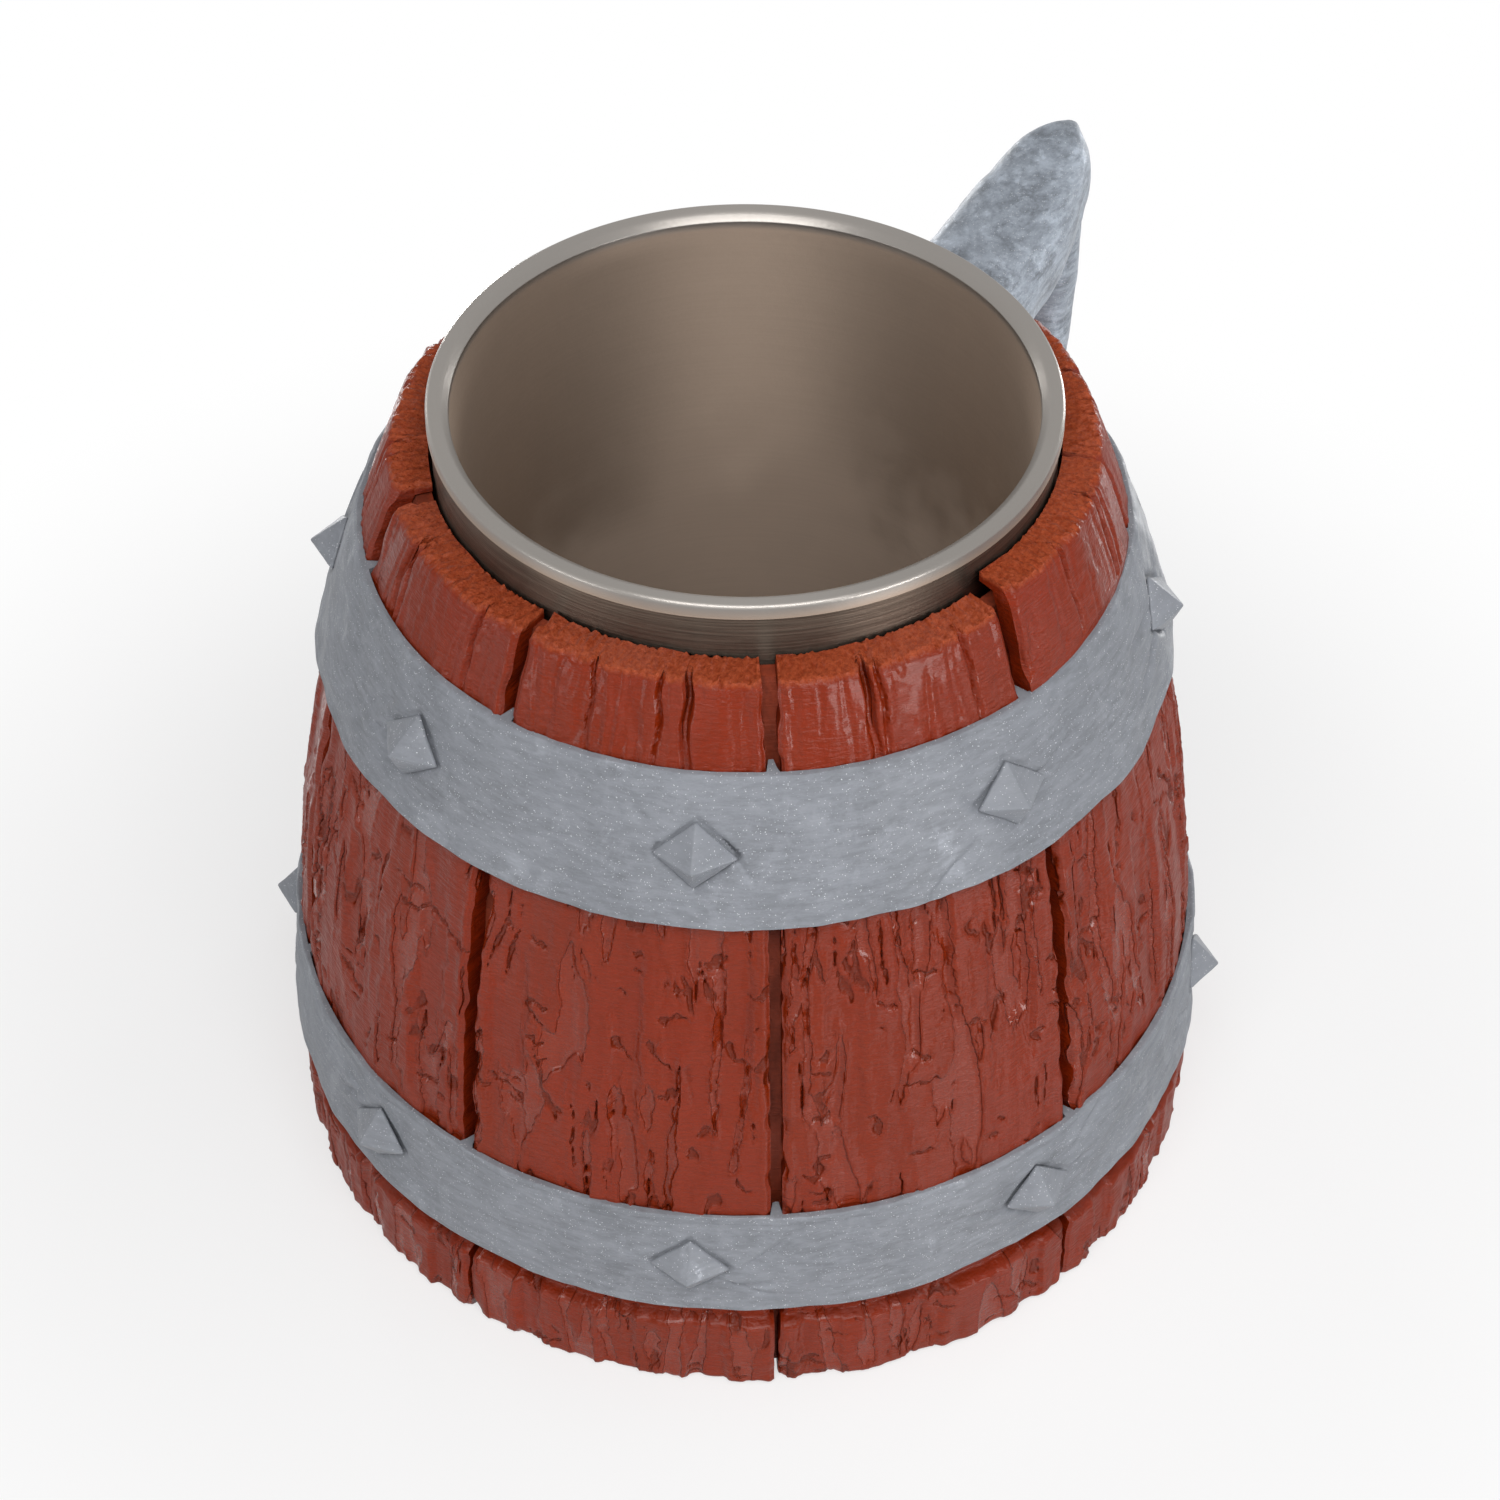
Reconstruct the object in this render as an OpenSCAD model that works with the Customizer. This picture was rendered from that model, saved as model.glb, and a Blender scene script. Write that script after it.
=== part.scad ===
// Barrel tankard: nine staves on a core, two studded hoops, a forged handle
// and a double-wall steel cup that lifts out. The origin is the centre of the
// underside, +Z is up and the handle points along +X. All sizes are millimetres.

/* [Barrel] */
// Height of the stave tops above the table
barrel_height = 123.5; // [112:0.5:132]
// Radius of the staves at the foot, behind the lower hoop
belly_radius = 69; // [66:0.5:74]
// How late the staves turn in towards the mouth
belly_power = 2.58; // [2:0.02:3.2]
// Angle from the handle to the middle of the first stave
stave_turn = -7.7; // [-12:0.1:4]
// Thickness of a stave
stave_thickness = 3.6; // [3:0.1:4]
// Gap between neighbouring staves
stave_gap = 1.7; // [1:0.1:2.5]
// Gap between neighbouring staves at the foot
foot_gap = 0.6; // [0.4:0.1:1.2]
// How far the thick foot stands out from the staves
foot_step = 1.2; // [0.6:0.1:4]
// Height of the thick foot
foot_height = 14; // [10:0.5:16]
// Depth of the groove between the foot and the lower hoop
groove_depth = 1; // [0.5:0.1:1.5]
// Width of the split at a stave's top
split_width = 1.4; // [0.8:0.1:2]
// Depth of that split
split_depth = 2; // [1:0.1:2.4]
// Length of that split
split_length = 15; // [8:0.5:24]
// Bevel around the underside of the foot
foot_bevel = 1.2; // [0.5:0.1:2]

/* [Hewn faces] */
// Depth of the long hollows hewn into a stave between the hoops
hollow_depth = 0.8; // [0.4:0.1:1.2]
// Usual width of a hollow
hollow_width = 6.5; // [4:0.5:8]
// Usual length of a hollow
hollow_length = 36; // [20:1:44]
// Depth of the notches hewn into a stave's foot
notch_depth = 0.7; // [0.3:0.1:1]
// Usual width of a notch
notch_width = 4.5; // [2:0.5:7]

/* [Core] */
// Thickness of the floor under the steel cup
floor_thickness = 10; // [8:0.5:14]
// How far the core's top lies below the stave tops
core_drop = 1.6; // [0.5:0.1:4]
// Thickness of the core's wall at the mouth
core_wall = 1.6; // [1.2:0.1:4]
// Clearance between core, staves and hoops
seat_clearance = 0.1; // [0.05:0.01:0.2]
// Clearance all round the steel cup
cup_clearance = 0.6; // [0.4:0.05:0.9]

/* [Hoops] */
// Height of the lower hoop's bottom edge above the table
lower_hoop_z = 18.5; // [17:0.5:24]
// Width of the lower hoop
lower_hoop_width = 19.2; // [16:0.2:24]
// Height of the upper hoop's bottom edge above the table
upper_hoop_z = 90.1; // [84:0.1:94]
// Width of the upper hoop
upper_hoop_width = 21.8; // [18:0.2:24]
// Thickness of a hoop at its bottom edge
hoop_thick_low = 2.1; // [1.8:0.1:2.8]
// Thickness of a hoop at its top edge
hoop_thick_high = 1.3; // [1.1:0.1:1.8]
// Bevel on a hoop's edges
hoop_bevel = 0.5; // [0.3:0.05:0.6]

/* [Studs] */
// Places for studs round a hoop
stud_places = 8; // [6:2:8]
// Angle from the handle to the first stud on each side
stud_turn = 26; // [20:0.5:30]
// Width of a stud from corner to corner
stud_width = 11.5; // [8:0.5:13]
// Height of a stud from corner to corner
stud_tall = 9.8; // [8:0.2:13]
// How far a stud's point stands out from the hoop
stud_point = 3.8; // [3:0.1:6]
// Depth of the pocket that a stud sits in
stud_pocket = 0.5; // [0.3:0.05:0.7]
// Clearance round a stud in its pocket
stud_clearance = 0.25; // [0.1:0.05:0.4]

/* [Handle] */
// Distance of the grip's outer face from the barrel's axis, just under the arm
grip_reach = 102.7; // [98:0.1:108]
// How far the grip bows out from the lower hoop
grip_bow = 21; // [16:0.5:24]
// Width of the grip
grip_width = 14.6; // [12:0.2:17]
// Thickness of the grip
grip_thick = 9.6; // [8:0.2:11]
// How much the grip widens on each side at its lower end
grip_flare = 1.5; // [0.5:0.1:3]
// Width of the arm where it meets the upper hoop
arm_width = 20.4; // [17:0.2:22]
// Depth of the arm where it meets the upper hoop
arm_depth = 16.6; // [14:0.2:18]
// How far the arm dips between the hoop and the thumb spur
arm_dip = 4.6; // [2:0.2:7]
// Height of the middle of the thumb spur's tip above the table
spur_height = 109.4; // [105:0.2:115]
// Distance of the thumb spur's tip from the barrel's axis
spur_reach = 110.4; // [107:0.2:115]
// Width of the thumb spur just behind its tip
spur_width = 6.4; // [4:0.2:8]
// Width of the two tenons that hold the handle
tenon_width = 9; // [6:0.5:11]
// Height of a tenon
tenon_height = 7; // [5:0.5:9]
// How far a tenon reaches into the core
tenon_reach = 4; // [2:0.5:5]
// How far a tenon runs on into the handle's body
tenon_root = 2; // [1:0.5:4]
// Clearance round a tenon
tenon_clearance = 0.2; // [0.1:0.05:0.3]

/* [Steel cup] */
// Outer diameter of the lip
rim_diameter = 88; // [82:0.5:96]
// Height of the cup
cup_height = 122; // [114:0.5:130]
// Width of the lip
lip_width = 3.2; // [2.6:0.1:4]
// Height of the lip
lip_height = 2.4; // [1.8:0.1:3.5]
// Height of the lip's crown above its edges
lip_crown = 1.1; // [0.5:0.1:1.6]
// How far the collar lies inside the lip's edge
collar_step = 0.5; // [0.2:0.1:1]
// Length of the straight collar under the lip
collar_length = 30; // [20:1:50]
// Diameter of the cup at its foot
cup_foot_diameter = 74; // [68:0.5:78]
// Thickness of the steel
steel = 0.8; // [0.6:0.05:1]
// Space between the cup's floor and the table side of its base cap
floor_space = 6; // [4:0.5:10]
// Space between the two walls at the foot
wall_space = 1; // [0.6:0.1:1.5]
// Radius of the corner between wall and floor inside the cup
floor_round = 9; // [4:0.5:14]
// Radius of the corner at the foot of the outer wall
foot_round = 4; // [2:0.5:6]
// Width of the outer wall's turned-in edge
turned_edge = 6; // [3:0.5:8]
// Width of the base cap's flat rim
cap_rim = 8; // [5:0.5:12]
// Height of the base cap's raised middle
cap_dish = 2; // [1:0.1:3]
// Width of the slope round the base cap's raised middle
cap_slope = 4; // [2:0.5:6]

/* [Hidden] */
$fn = 96;
// Size of a block that cuts away everything on one side
big = 400;
// How far a cut runs past the face that it opens
over = 1;

// Stave tops differ a little, as hewn ends do: rise in mm, slope in degrees
stave_rise = [0, 1, -0.6, 0.8, -0.4, 0, 0.2, 2.6, 1.2];
stave_slope = [1, -2, 2, -1.5, 1.5, -1, 1.5, -2, 1];
// Angle of each stave's split from its middle, in degrees
stave_split = [-6, 8, -4, 7, -9, 7.4, -5.1, 9, 4];

// Each stave has a node of its own, so their number is fixed
stave_count = 9;
stave_pitch = 360 / stave_count;
profile_steps = 22;
rise_room = 4;
// Hollows side by side on a stave, and notches side by side on its foot
hewn_count = 3;
// How much they differ from their usual size and place
hewn_vary = 0.3;
hollow_steps = 6;
// How far a hollow's floor starts outside the stave's face at both ends
hollow_start = 0.2;
hoop_steps = 6;
lip_steps = 12;
corner_steps = 8;

// The studs share out the hoop from one side of the handle round to the other
stud_pitch = (360 - 2 * stud_turn) / (stud_places - 1);

lip_r = rim_diameter / 2;
collar_r = lip_r - collar_step;
cup_foot_r = cup_foot_diameter / 2;
cup_top = floor_thickness + cup_height;
collar_z = cup_top - lip_height - collar_length;
mouth_r = lip_r - lip_width;
core_top = barrel_height - core_drop;

// The barrel's mouth is built up from the cup outwards, its foot from the staves
core_bore = collar_r + cup_clearance;
mouth_radius = core_bore + core_wall + seat_clearance + stave_thickness;
foot_radius = belly_radius + foot_step;

// Radius of the staves' outer face at height z
function belly_r(z) =
    belly_radius - (belly_radius - mouth_radius) * pow(max(z, 0) / barrel_height, belly_power);

// Points along the staves' outer face from z0 to z1, moved out by d
function belly_line(z0, z1, d = 0, steps = profile_steps) = [
    for (i = [0 : steps])
        let (z = z0 + (z1 - z0) * i / steps)
        [belly_r(z) + d, z]
];

function reversed(p) = [for (i = [len(p) - 1 : -1 : 0]) p[i]];

// Points of an arc, angles in degrees
function arc(x, y, r, a0, a1) = [
    for (i = [0 : corner_steps])
        let (a = a0 + (a1 - a0) * i / corner_steps)
        [x + r * cos(a), y + r * sin(a)]
];

// Point at t on a Bezier curve of any degree
function bezier(p, t) =
    len(p) == 1 ? p[0] : bezier([for (i = [0 : len(p) - 2]) p[i] * (1 - t) + p[i + 1] * t], t);

// Radius at height z of the outer face of a hoop that starts at z0
function hoop_r(z, z0, width) =
    belly_r(z) + hoop_thick_low + (hoop_thick_high - hoop_thick_low) * (z - z0) / width;

// Points up a hoop's outer face from za to zb, moved out by d
function hoop_face(z0, width, za, zb, d = 0) = [
    for (i = [0 : hoop_steps])
        let (z = za + (zb - za) * i / hoop_steps)
        [hoop_r(z, z0, width) + d, z]
];

// Lean of the staves between heights z0 and z1, in degrees from upright
function belly_lean(z0, z1) = atan2(belly_r(z0) - belly_r(z1), z1 - z0);

// Lean of a hoop's outer face, in degrees from upright
function hoop_lean(z0, width) = atan2(hoop_r(z0, z0, width) - hoop_r(z0 + width, z0, width), width);

// Staves

// A value from -1 to 1 that differs from stave i to stave, and from hollow k to hollow
function uneven(i, k, n) = sin(137 * i + 79 * k + 211 * n);

// Degrees that a width takes up on the belly
function belly_angle(width) = width / belly_radius * 180 / PI;

// Places its children at each hollow or notch of stave i, in the middle of its share of the face
module at_hewn(i, n) {
    share = stave_pitch / hewn_count;
    for (k = [0 : hewn_count - 1])
        let ($wide = 1 + hewn_vary * uneven(i, k, n + 1),
             $long = 1 + hewn_vary * uneven(i, k, n + 2),
             $lift = uneven(i, k, n + 3))
        rotate([0, 0, share * (k - (hewn_count - 1) / 2 + hewn_vary / 2 * uneven(i, k, n))]) children();
}

// A long hollow with a flat floor, between the two hoops
module hewn_hollow() {
    low = lower_hoop_z + lower_hoop_width;
    room = upper_hoop_z - low;
    run = min(hollow_length * $long, room);
    z0 = low + (room - run) * (1 + $lift) / 2;
    wide = belly_angle(hollow_width) * $wide;
    rotate([0, 0, -wide / 2]) rotate_extrude(angle = wide) polygon(concat(
        [for (j = [0 : hollow_steps])
            let (t = j / hollow_steps, z = z0 + run * t)
            [belly_r(z) + hollow_start - (hollow_start + hollow_depth) * sqrt(4 * t * (1 - t)), z]],
        [[belly_r(z0) + over, z0 + run], [belly_r(z0) + over, z0]]
    ));
}

// A notch up the whole foot
module foot_notch() {
    wide = belly_angle(notch_width) * $wide;
    rotate([0, 0, -wide / 2]) rotate_extrude(angle = wide)
        translate([foot_radius - notch_depth, -over]) square([notch_depth + over, foot_height + 2 * over]);
}

// Outline of a stave from foot to top, before its ends and edges are cut
module stave_blank(top) {
    polygon(concat(
        [[foot_radius - foot_bevel, 0], [foot_radius, foot_bevel], [foot_radius, foot_height],
         [belly_r(foot_height) - groove_depth, foot_height],
         [belly_r(lower_hoop_z) - groove_depth, lower_hoop_z - groove_depth]],
        belly_line(lower_hoop_z, top),
        reversed(belly_line(0, top, -stave_thickness))
    ));
}

// One stave, numbered from the one behind the handle
module stave(i) {
    top = barrel_height + rise_room;
    rise = stave_rise[i % len(stave_rise)];
    slope = stave_slope[i % len(stave_slope)];
    split = stave_split[i % len(stave_split)];
    color("saddlebrown") difference() {
        rotate([0, 0, stave_turn + i * stave_pitch]) difference() {
            rotate([0, 0, -stave_pitch / 2]) rotate_extrude(angle = stave_pitch) stave_blank(top);
            for (side = [-1, 1])
                rotate([0, 0, side * stave_pitch / 2]) {
                    translate([0, -stave_gap / 2, foot_height]) cube([big, stave_gap, big]);
                    translate([0, -foot_gap / 2, -over]) cube([big, foot_gap, big]);
                }
            translate([0, 0, barrel_height + rise]) rotate([slope, 0, 0])
                translate([0, -big / 2, 0]) cube([big, big, big]);
            rotate([0, 0, split]) stave_split_cut();
            at_hewn(i, 0) hewn_hollow();
            at_hewn(i, 4) foot_notch();
        }
        handle_tenons(tenon_clearance);
    }
}

// A split runs down from the top and fades out towards the outer face
module stave_split_cut() {
    low = barrel_height - split_length;
    translate([belly_r(low), 0, low])
        rotate([0, -belly_lean(low, barrel_height) - atan2(split_depth, split_length), 0])
            translate([0, -split_width / 2, 0]) cube([big, split_width, big]);
}

// Core

module barrel_core() {
    foot_r = cup_foot_r + cup_clearance;
    out = -stave_thickness - seat_clearance;
    color("sienna") difference() {
        rotate_extrude() polygon(concat(
            [[0, 0]],
            belly_line(0, core_top, out),
            [[core_bore, core_top], [core_bore, collar_z], [foot_r, floor_thickness], [0, floor_thickness]]
        ));
        handle_tenons(tenon_clearance);
    }
}

// Hoops

module hoop(z0, width) {
    z1 = z0 + width;
    color("slategray") difference() {
        rotate_extrude() polygon(concat(
            [[hoop_r(z0, z0, width) - hoop_bevel, z0]],
            hoop_face(z0, width, z0 + hoop_bevel, z1 - hoop_bevel),
            [[hoop_r(z1, z0, width) - hoop_bevel, z1]],
            reversed(belly_line(z0, z1, seat_clearance, hoop_steps))
        ));
        at_studs(z0, width) stud_block(stud_clearance);
        handle_tenons(tenon_clearance);
    }
}

module upper_hoop() { hoop(upper_hoop_z, upper_hoop_width); }

module lower_hoop() { hoop(lower_hoop_z, lower_hoop_width); }

// Studs

// Places its children on a hoop at each stud, X pointing straight out
module at_studs(z0, width) {
    mid = z0 + width / 2;
    for (k = [0 : stud_places - 1])
        rotate([0, 0, stud_turn + k * stud_pitch])
            translate([hoop_r(mid, z0, width), 0, mid])
                rotate([0, -hoop_lean(z0, width), 0]) children();
}

module diamond(grow = 0) {
    w = stud_width / 2 + grow;
    h = stud_tall / 2 + grow;
    polygon([[h, 0], [0, w], [-h, 0], [0, -w]]);
}

// The pocket's room: a diamond from the pocket's floor outwards
module stud_block(grow = 0) {
    translate([-stud_pocket, 0, 0]) rotate([0, 90, 0]) linear_extrude(stud_pocket + stud_point) diamond(grow);
}

// A stud is a diamond block with a pyramid on it, whose point stands out level
module stud(lean) {
    h = stud_tall / 2;
    w = stud_width / 2;
    color("lightslategray") polyhedron(
        points = [
            [-stud_pocket, 0, h], [-stud_pocket, w, 0], [-stud_pocket, 0, -h], [-stud_pocket, -w, 0],
            [0, 0, h], [0, w, 0], [0, 0, -h], [0, -w, 0],
            [stud_point * cos(lean), 0, -stud_point * sin(lean)]
        ],
        faces = [
            [0, 1, 2, 3],
            [0, 4, 5, 1], [1, 5, 6, 2], [2, 6, 7, 3], [3, 7, 4, 0],
            [4, 8, 5], [5, 8, 6], [6, 8, 7], [7, 8, 4]
        ]
    );
}

module studs(z0, width) { at_studs(z0, width) stud(hoop_lean(z0, width)); }

module upper_studs() { studs(upper_hoop_z, upper_hoop_width); }

module lower_studs() { studs(lower_hoop_z, lower_hoop_width); }

// Handle

upper_mid = upper_hoop_z + upper_hoop_width / 2;
lower_mid = lower_hoop_z + lower_hoop_width / 2;
upper_r = hoop_r(upper_mid, upper_hoop_z, upper_hoop_width);
lower_r = hoop_r(lower_mid, lower_hoop_z, lower_hoop_width);
grip_x = grip_reach - grip_thick / 2;
arm_run = grip_x - upper_r;
grip_drop = upper_mid - lower_mid;
// How far the ends of arm and grip reach in before they are cut to the hoops
root_depth = 6;
loft_steps = 24;
ring_sides = 20;
ring_power = 3;

// Guide points along the middle of the arm, as [distance from the axis, height]
arm_line = [
    [upper_r - root_depth, upper_mid],
    [upper_r + 0.43 * arm_run, upper_mid - arm_dip],
    [grip_x - 0.1 * arm_run, upper_mid - 0.15 * arm_dip],
    [spur_reach, spur_height]
];
// How late the arm narrows and thins towards its tip, the share of it that rounds off, and the
// width that is left at the very tip
arm_width_power = 4.2;
arm_depth_power = 3.2;
tip_share = 0.15;
tip_flat = 1.7;
spur_lean_ratio = 0.38;

// Guide points along the middle of the grip, from inside the arm to the lower hoop
grip_line = [
    [grip_x + 0.07 * arm_run, upper_mid + 0.07 * grip_drop],
    [grip_x, upper_mid - 0.19 * grip_drop],
    [grip_x - 0.05 * arm_run, upper_mid - 0.39 * grip_drop],
    [lower_r + grip_bow, lower_mid + 0.335 * grip_drop],
    [lower_r + grip_bow / 2, lower_mid + 0.08 * grip_drop],
    [lower_r - root_depth, lower_mid]
];
// How much narrower the grip starts inside the arm
grip_start_taper = 2;

// Tenons through hoop, stave and core, at both ends of the handle
module handle_tenons(grow = 0) {
    h = tenon_height + 2 * grow;
    w = tenon_width + 2 * grow;
    for (end = [[upper_mid, upper_r], [lower_mid, lower_r]]) {
        start = belly_r(end[0]) - stave_thickness - tenon_reach - grow;
        translate([start, -w / 2, end[0] - h / 2]) cube([end[1] + tenon_root - start, w, h]);
    }
}

// Rounded section, half width w across and half depth d along the direction dir
function section(at, dir, w, d) = [
    for (k = [0 : ring_sides - 1])
        let (a = 360 * k / ring_sides,
             c = cos(a), s = sin(a),
             u = sign(c) * pow(abs(c), 2 / ring_power),
             v = sign(s) * pow(abs(s), 2 / ring_power))
        [at[0] + dir[0] * d * v, w * u, at[1] + dir[1] * d * v]
];

// Solid through a row of sections
module loft(rings) {
    n = len(rings[0]);
    m = len(rings);
    polyhedron(
        points = [for (r = rings) each r],
        faces = concat(
            [[for (k = [0 : n - 1]) k]],
            [[for (k = [n - 1 : -1 : 0]) (m - 1) * n + k]],
            [for (j = [0 : m - 2], k = [0 : n - 1])
                let (a = j * n + k, b = j * n + (k + 1) % n)
                [a, a + n, b + n]],
            [for (j = [0 : m - 2], k = [0 : n - 1])
                let (a = j * n + k, b = j * n + (k + 1) % n)
                [a, b + n, b]]
        )
    );
}

// Direction of a Bezier curve at t
function bezier_dir(p, t) =
    let (step = 0.01, run = bezier(p, min(1, t + step)) - bezier(p, max(0, t - step)))
    run / norm(run);

// Arm from the upper hoop out to the rounded tip of the thumb spur
module handle_arm() {
    loft([
        for (i = [0 : loft_steps])
            let (t = i / loft_steps,
                 end = max(0, 1 - (1 - t) / tip_share),
                 rounding = sqrt(1 - (1 - pow(tip_flat / spur_width, 2)) * end * end),
                 w = arm_width / 2 + (spur_width - arm_width) / 2 * pow(t, arm_width_power),
                 d = arm_depth / 2 + (spur_width - arm_depth) / 2 * pow(t, arm_depth_power))
            section(bezier(arm_line, t), [-spur_lean_ratio * t, 1], w * rounding, d * rounding)
    ]);
}

// Grip from inside the arm down to the lower hoop
module handle_grip() {
    loft([
        for (i = [0 : loft_steps])
            let (t = i / loft_steps,
                 dir = bezier_dir(grip_line, t),
                 flare = grip_flare * pow(max(0, 2 * t - 1), 4),
                 taper = grip_start_taper * pow(max(0, 1 - 4 * t), 2),
                 w = grip_width / 2 + flare - taper)
            section(bezier(grip_line, t), [-dir[1], dir[0]], w, grip_thick / 2)
    ]);
}

// Room that a hoop takes up, from the axis to just outside its face
module hoop_room(z0, width) {
    low = z0 - root_depth;
    high = z0 + width + root_depth;
    rotate_extrude() polygon(concat(
        [[0, low]],
        hoop_face(z0, width, low, high, seat_clearance),
        [[0, high]]
    ));
}

module handle() {
    color("slategray") {
        difference() {
            union() {
                handle_arm();
                handle_grip();
            }
            hoop_room(upper_hoop_z, upper_hoop_width);
            hoop_room(lower_hoop_z, lower_hoop_width);
        }
        handle_tenons();
    }
}

// Steel cup

// Half section of the inner wall's inside, from the lip down to the middle of its floor
function cup_inside(d) = concat(
    [[mouth_r + d, cup_top - lip_height]],
    arc(cup_foot_r - 2 * steel - wall_space - floor_round, floor_thickness + floor_space + floor_round,
        floor_round + d, 0, -90),
    [[0, floor_thickness + floor_space - d]]
);

module cup_inner_wall() {
    color("silver") rotate_extrude() polygon(concat(
        [[lip_r, cup_top - lip_height]],
        [for (i = [0 : lip_steps])
            let (a = 180 * i / lip_steps)
            [lip_r - lip_width / 2 * (1 - cos(a)), cup_top - lip_crown * (1 - sin(a))]],
        cup_inside(0),
        reversed(cup_inside(steel))
    ));
}

module cup_outer_wall() {
    base = floor_thickness;
    corner_r = cup_foot_r - foot_round;
    corner_z = base + foot_round;
    edge_r = corner_r - turned_edge;
    color("gainsboro") rotate_extrude() polygon(concat(
        [[collar_r, cup_top - lip_height], [collar_r - steel, cup_top - lip_height]],
        [[collar_r - steel, collar_z]],
        arc(corner_r, corner_z, foot_round - steel, 0, -90),
        [[edge_r, base + steel], [edge_r, base]],
        arc(corner_r, corner_z, foot_round, -90, 0),
        [[collar_r, collar_z]]
    ));
}

// The cap lies on the outer wall's turned-in edge and rises in the middle
module cup_base_cap() {
    r = cup_foot_r - foot_round;
    rim_r = r - cap_rim;
    dish_r = rim_r - cap_slope;
    z = floor_thickness + steel;
    color("darkgray") rotate_extrude() polygon([
        [0, z + cap_dish], [dish_r, z + cap_dish], [rim_r, z], [r, z],
        [r, z + steel], [rim_r + steel / 2, z + steel], [dish_r + steel / 2, z + cap_dish + steel],
        [0, z + cap_dish + steel]
    ]);
}

barrel_core();
for (i = [0 : stave_count - 1])
    stave(i);
upper_hoop();
lower_hoop();
upper_studs();
lower_studs();
handle();
cup_inner_wall();
cup_outer_wall();
cup_base_cap();
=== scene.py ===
import math
from typing import NamedTuple

import bmesh
import bpy
import numpy as np
from bpy.props import FloatProperty, FloatVectorProperty, PointerProperty
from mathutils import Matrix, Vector, noise


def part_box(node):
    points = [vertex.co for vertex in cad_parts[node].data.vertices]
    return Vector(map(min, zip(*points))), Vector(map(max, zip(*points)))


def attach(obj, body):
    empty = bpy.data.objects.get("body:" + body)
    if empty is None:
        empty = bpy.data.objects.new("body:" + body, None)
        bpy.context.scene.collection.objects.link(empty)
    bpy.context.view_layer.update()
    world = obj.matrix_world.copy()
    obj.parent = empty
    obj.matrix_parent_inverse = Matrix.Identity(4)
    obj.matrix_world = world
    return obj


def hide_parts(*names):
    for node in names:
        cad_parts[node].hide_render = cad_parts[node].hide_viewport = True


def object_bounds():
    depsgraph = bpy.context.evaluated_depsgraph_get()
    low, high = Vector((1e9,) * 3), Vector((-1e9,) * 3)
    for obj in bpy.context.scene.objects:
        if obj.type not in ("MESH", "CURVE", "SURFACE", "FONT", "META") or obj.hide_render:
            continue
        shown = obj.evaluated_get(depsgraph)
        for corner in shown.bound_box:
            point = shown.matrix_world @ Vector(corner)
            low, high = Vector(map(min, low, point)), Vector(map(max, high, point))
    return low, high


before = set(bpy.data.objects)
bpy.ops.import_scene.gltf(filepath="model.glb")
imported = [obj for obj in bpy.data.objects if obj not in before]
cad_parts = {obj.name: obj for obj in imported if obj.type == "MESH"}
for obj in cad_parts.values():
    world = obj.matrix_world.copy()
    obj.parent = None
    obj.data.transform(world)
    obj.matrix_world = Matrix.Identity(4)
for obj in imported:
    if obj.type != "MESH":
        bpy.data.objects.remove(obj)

bl_info = {
    "name": "Barrel tankard",
    "version": (1, 0, 0),
    "blender": (4, 5, 0),
    "location": "3D View > Sidebar > Tankard",
    "description": "Hewn staves, dented hoops, studs, forged handle and steel cup of a barrel tankard",
    "category": "Object",
}

MM = 0.001
CAD_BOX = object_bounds()
STAVES = 9
STUDS = 8
HOLLOWS = 3
WHITE = (1.0, 1.0, 1.0)
# Depth of the finest surface texture, in metres
FINE_BUMP = 0.0001
# Radius of the flat that closes a turned piece at its axis, in millimetres
AXIS_FLAT = 0.3

UPPER_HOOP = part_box("upper_hoop")
LOWER_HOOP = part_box("lower_hoop")
CUP_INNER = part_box("cup_inner_wall")
CUP_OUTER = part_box("cup_outer_wall")
CUP_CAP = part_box("cup_base_cap")
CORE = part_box("barrel_core")


def mm(metres):
    """Turn metres into millimetres, the unit in which the pieces are shaped."""
    return metres / MM


# Settings

def length(name, description, default):
    return FloatProperty(name=name, description=description, default=default, unit="LENGTH", precision=5)


def share(name, description, default):
    return FloatProperty(name=name, description=description, default=default, min=0.0, max=1.0,
                         subtype="FACTOR")


def colour(name, description, default):
    return FloatVectorProperty(name=name, description=description, default=default, size=3, min=0.0,
                               max=1.0, subtype="COLOR")


def angle(name, description, degrees):
    return FloatProperty(name=name, description=description, default=math.radians(degrees), subtype="ANGLE")


def power(name, description, watts):
    return FloatProperty(name=name, description=description, default=watts, unit="POWER")


class BarrelSizes(bpy.types.PropertyGroup):
    belly_radius: length("Belly radius", "Radius of the staves behind the lower hoop", 0.069)
    mouth_radius: length("Mouth radius", "Outer radius of the staves at the mouth", 0.0494)
    belly_power: FloatProperty(name="Belly power", description="How late the staves turn in", default=2.58)
    height: length("Height", "Height of the stave tops above the table", 0.1235)
    stave_thickness: length("Stave thickness", "Thickness of a stave", 0.0036)
    stave_gap: length("Stave gap", "Gap between neighbouring staves", 0.0017)
    foot_gap: length("Foot gap", "Gap between neighbouring staves at the foot", 0.0006)
    stave_turn: angle("Stave turn", "Angle from the handle to the first stave", -7.7)
    foot_step: length("Foot step", "How far the thick foot stands out", 0.0012)
    foot_height: length("Foot height", "Height of the thick foot", 0.014)
    groove_depth: length("Groove depth", "Depth of the groove under the lower hoop", 0.001)
    foot_bevel: length("Foot bevel", "Bevel round the underside of the foot", 0.0012)
    split_depth: length("Split depth", "Depth of the split at a stave's top", 0.002)
    split_length: length("Split length", "Length of the split at a stave's top", 0.015)


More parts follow.
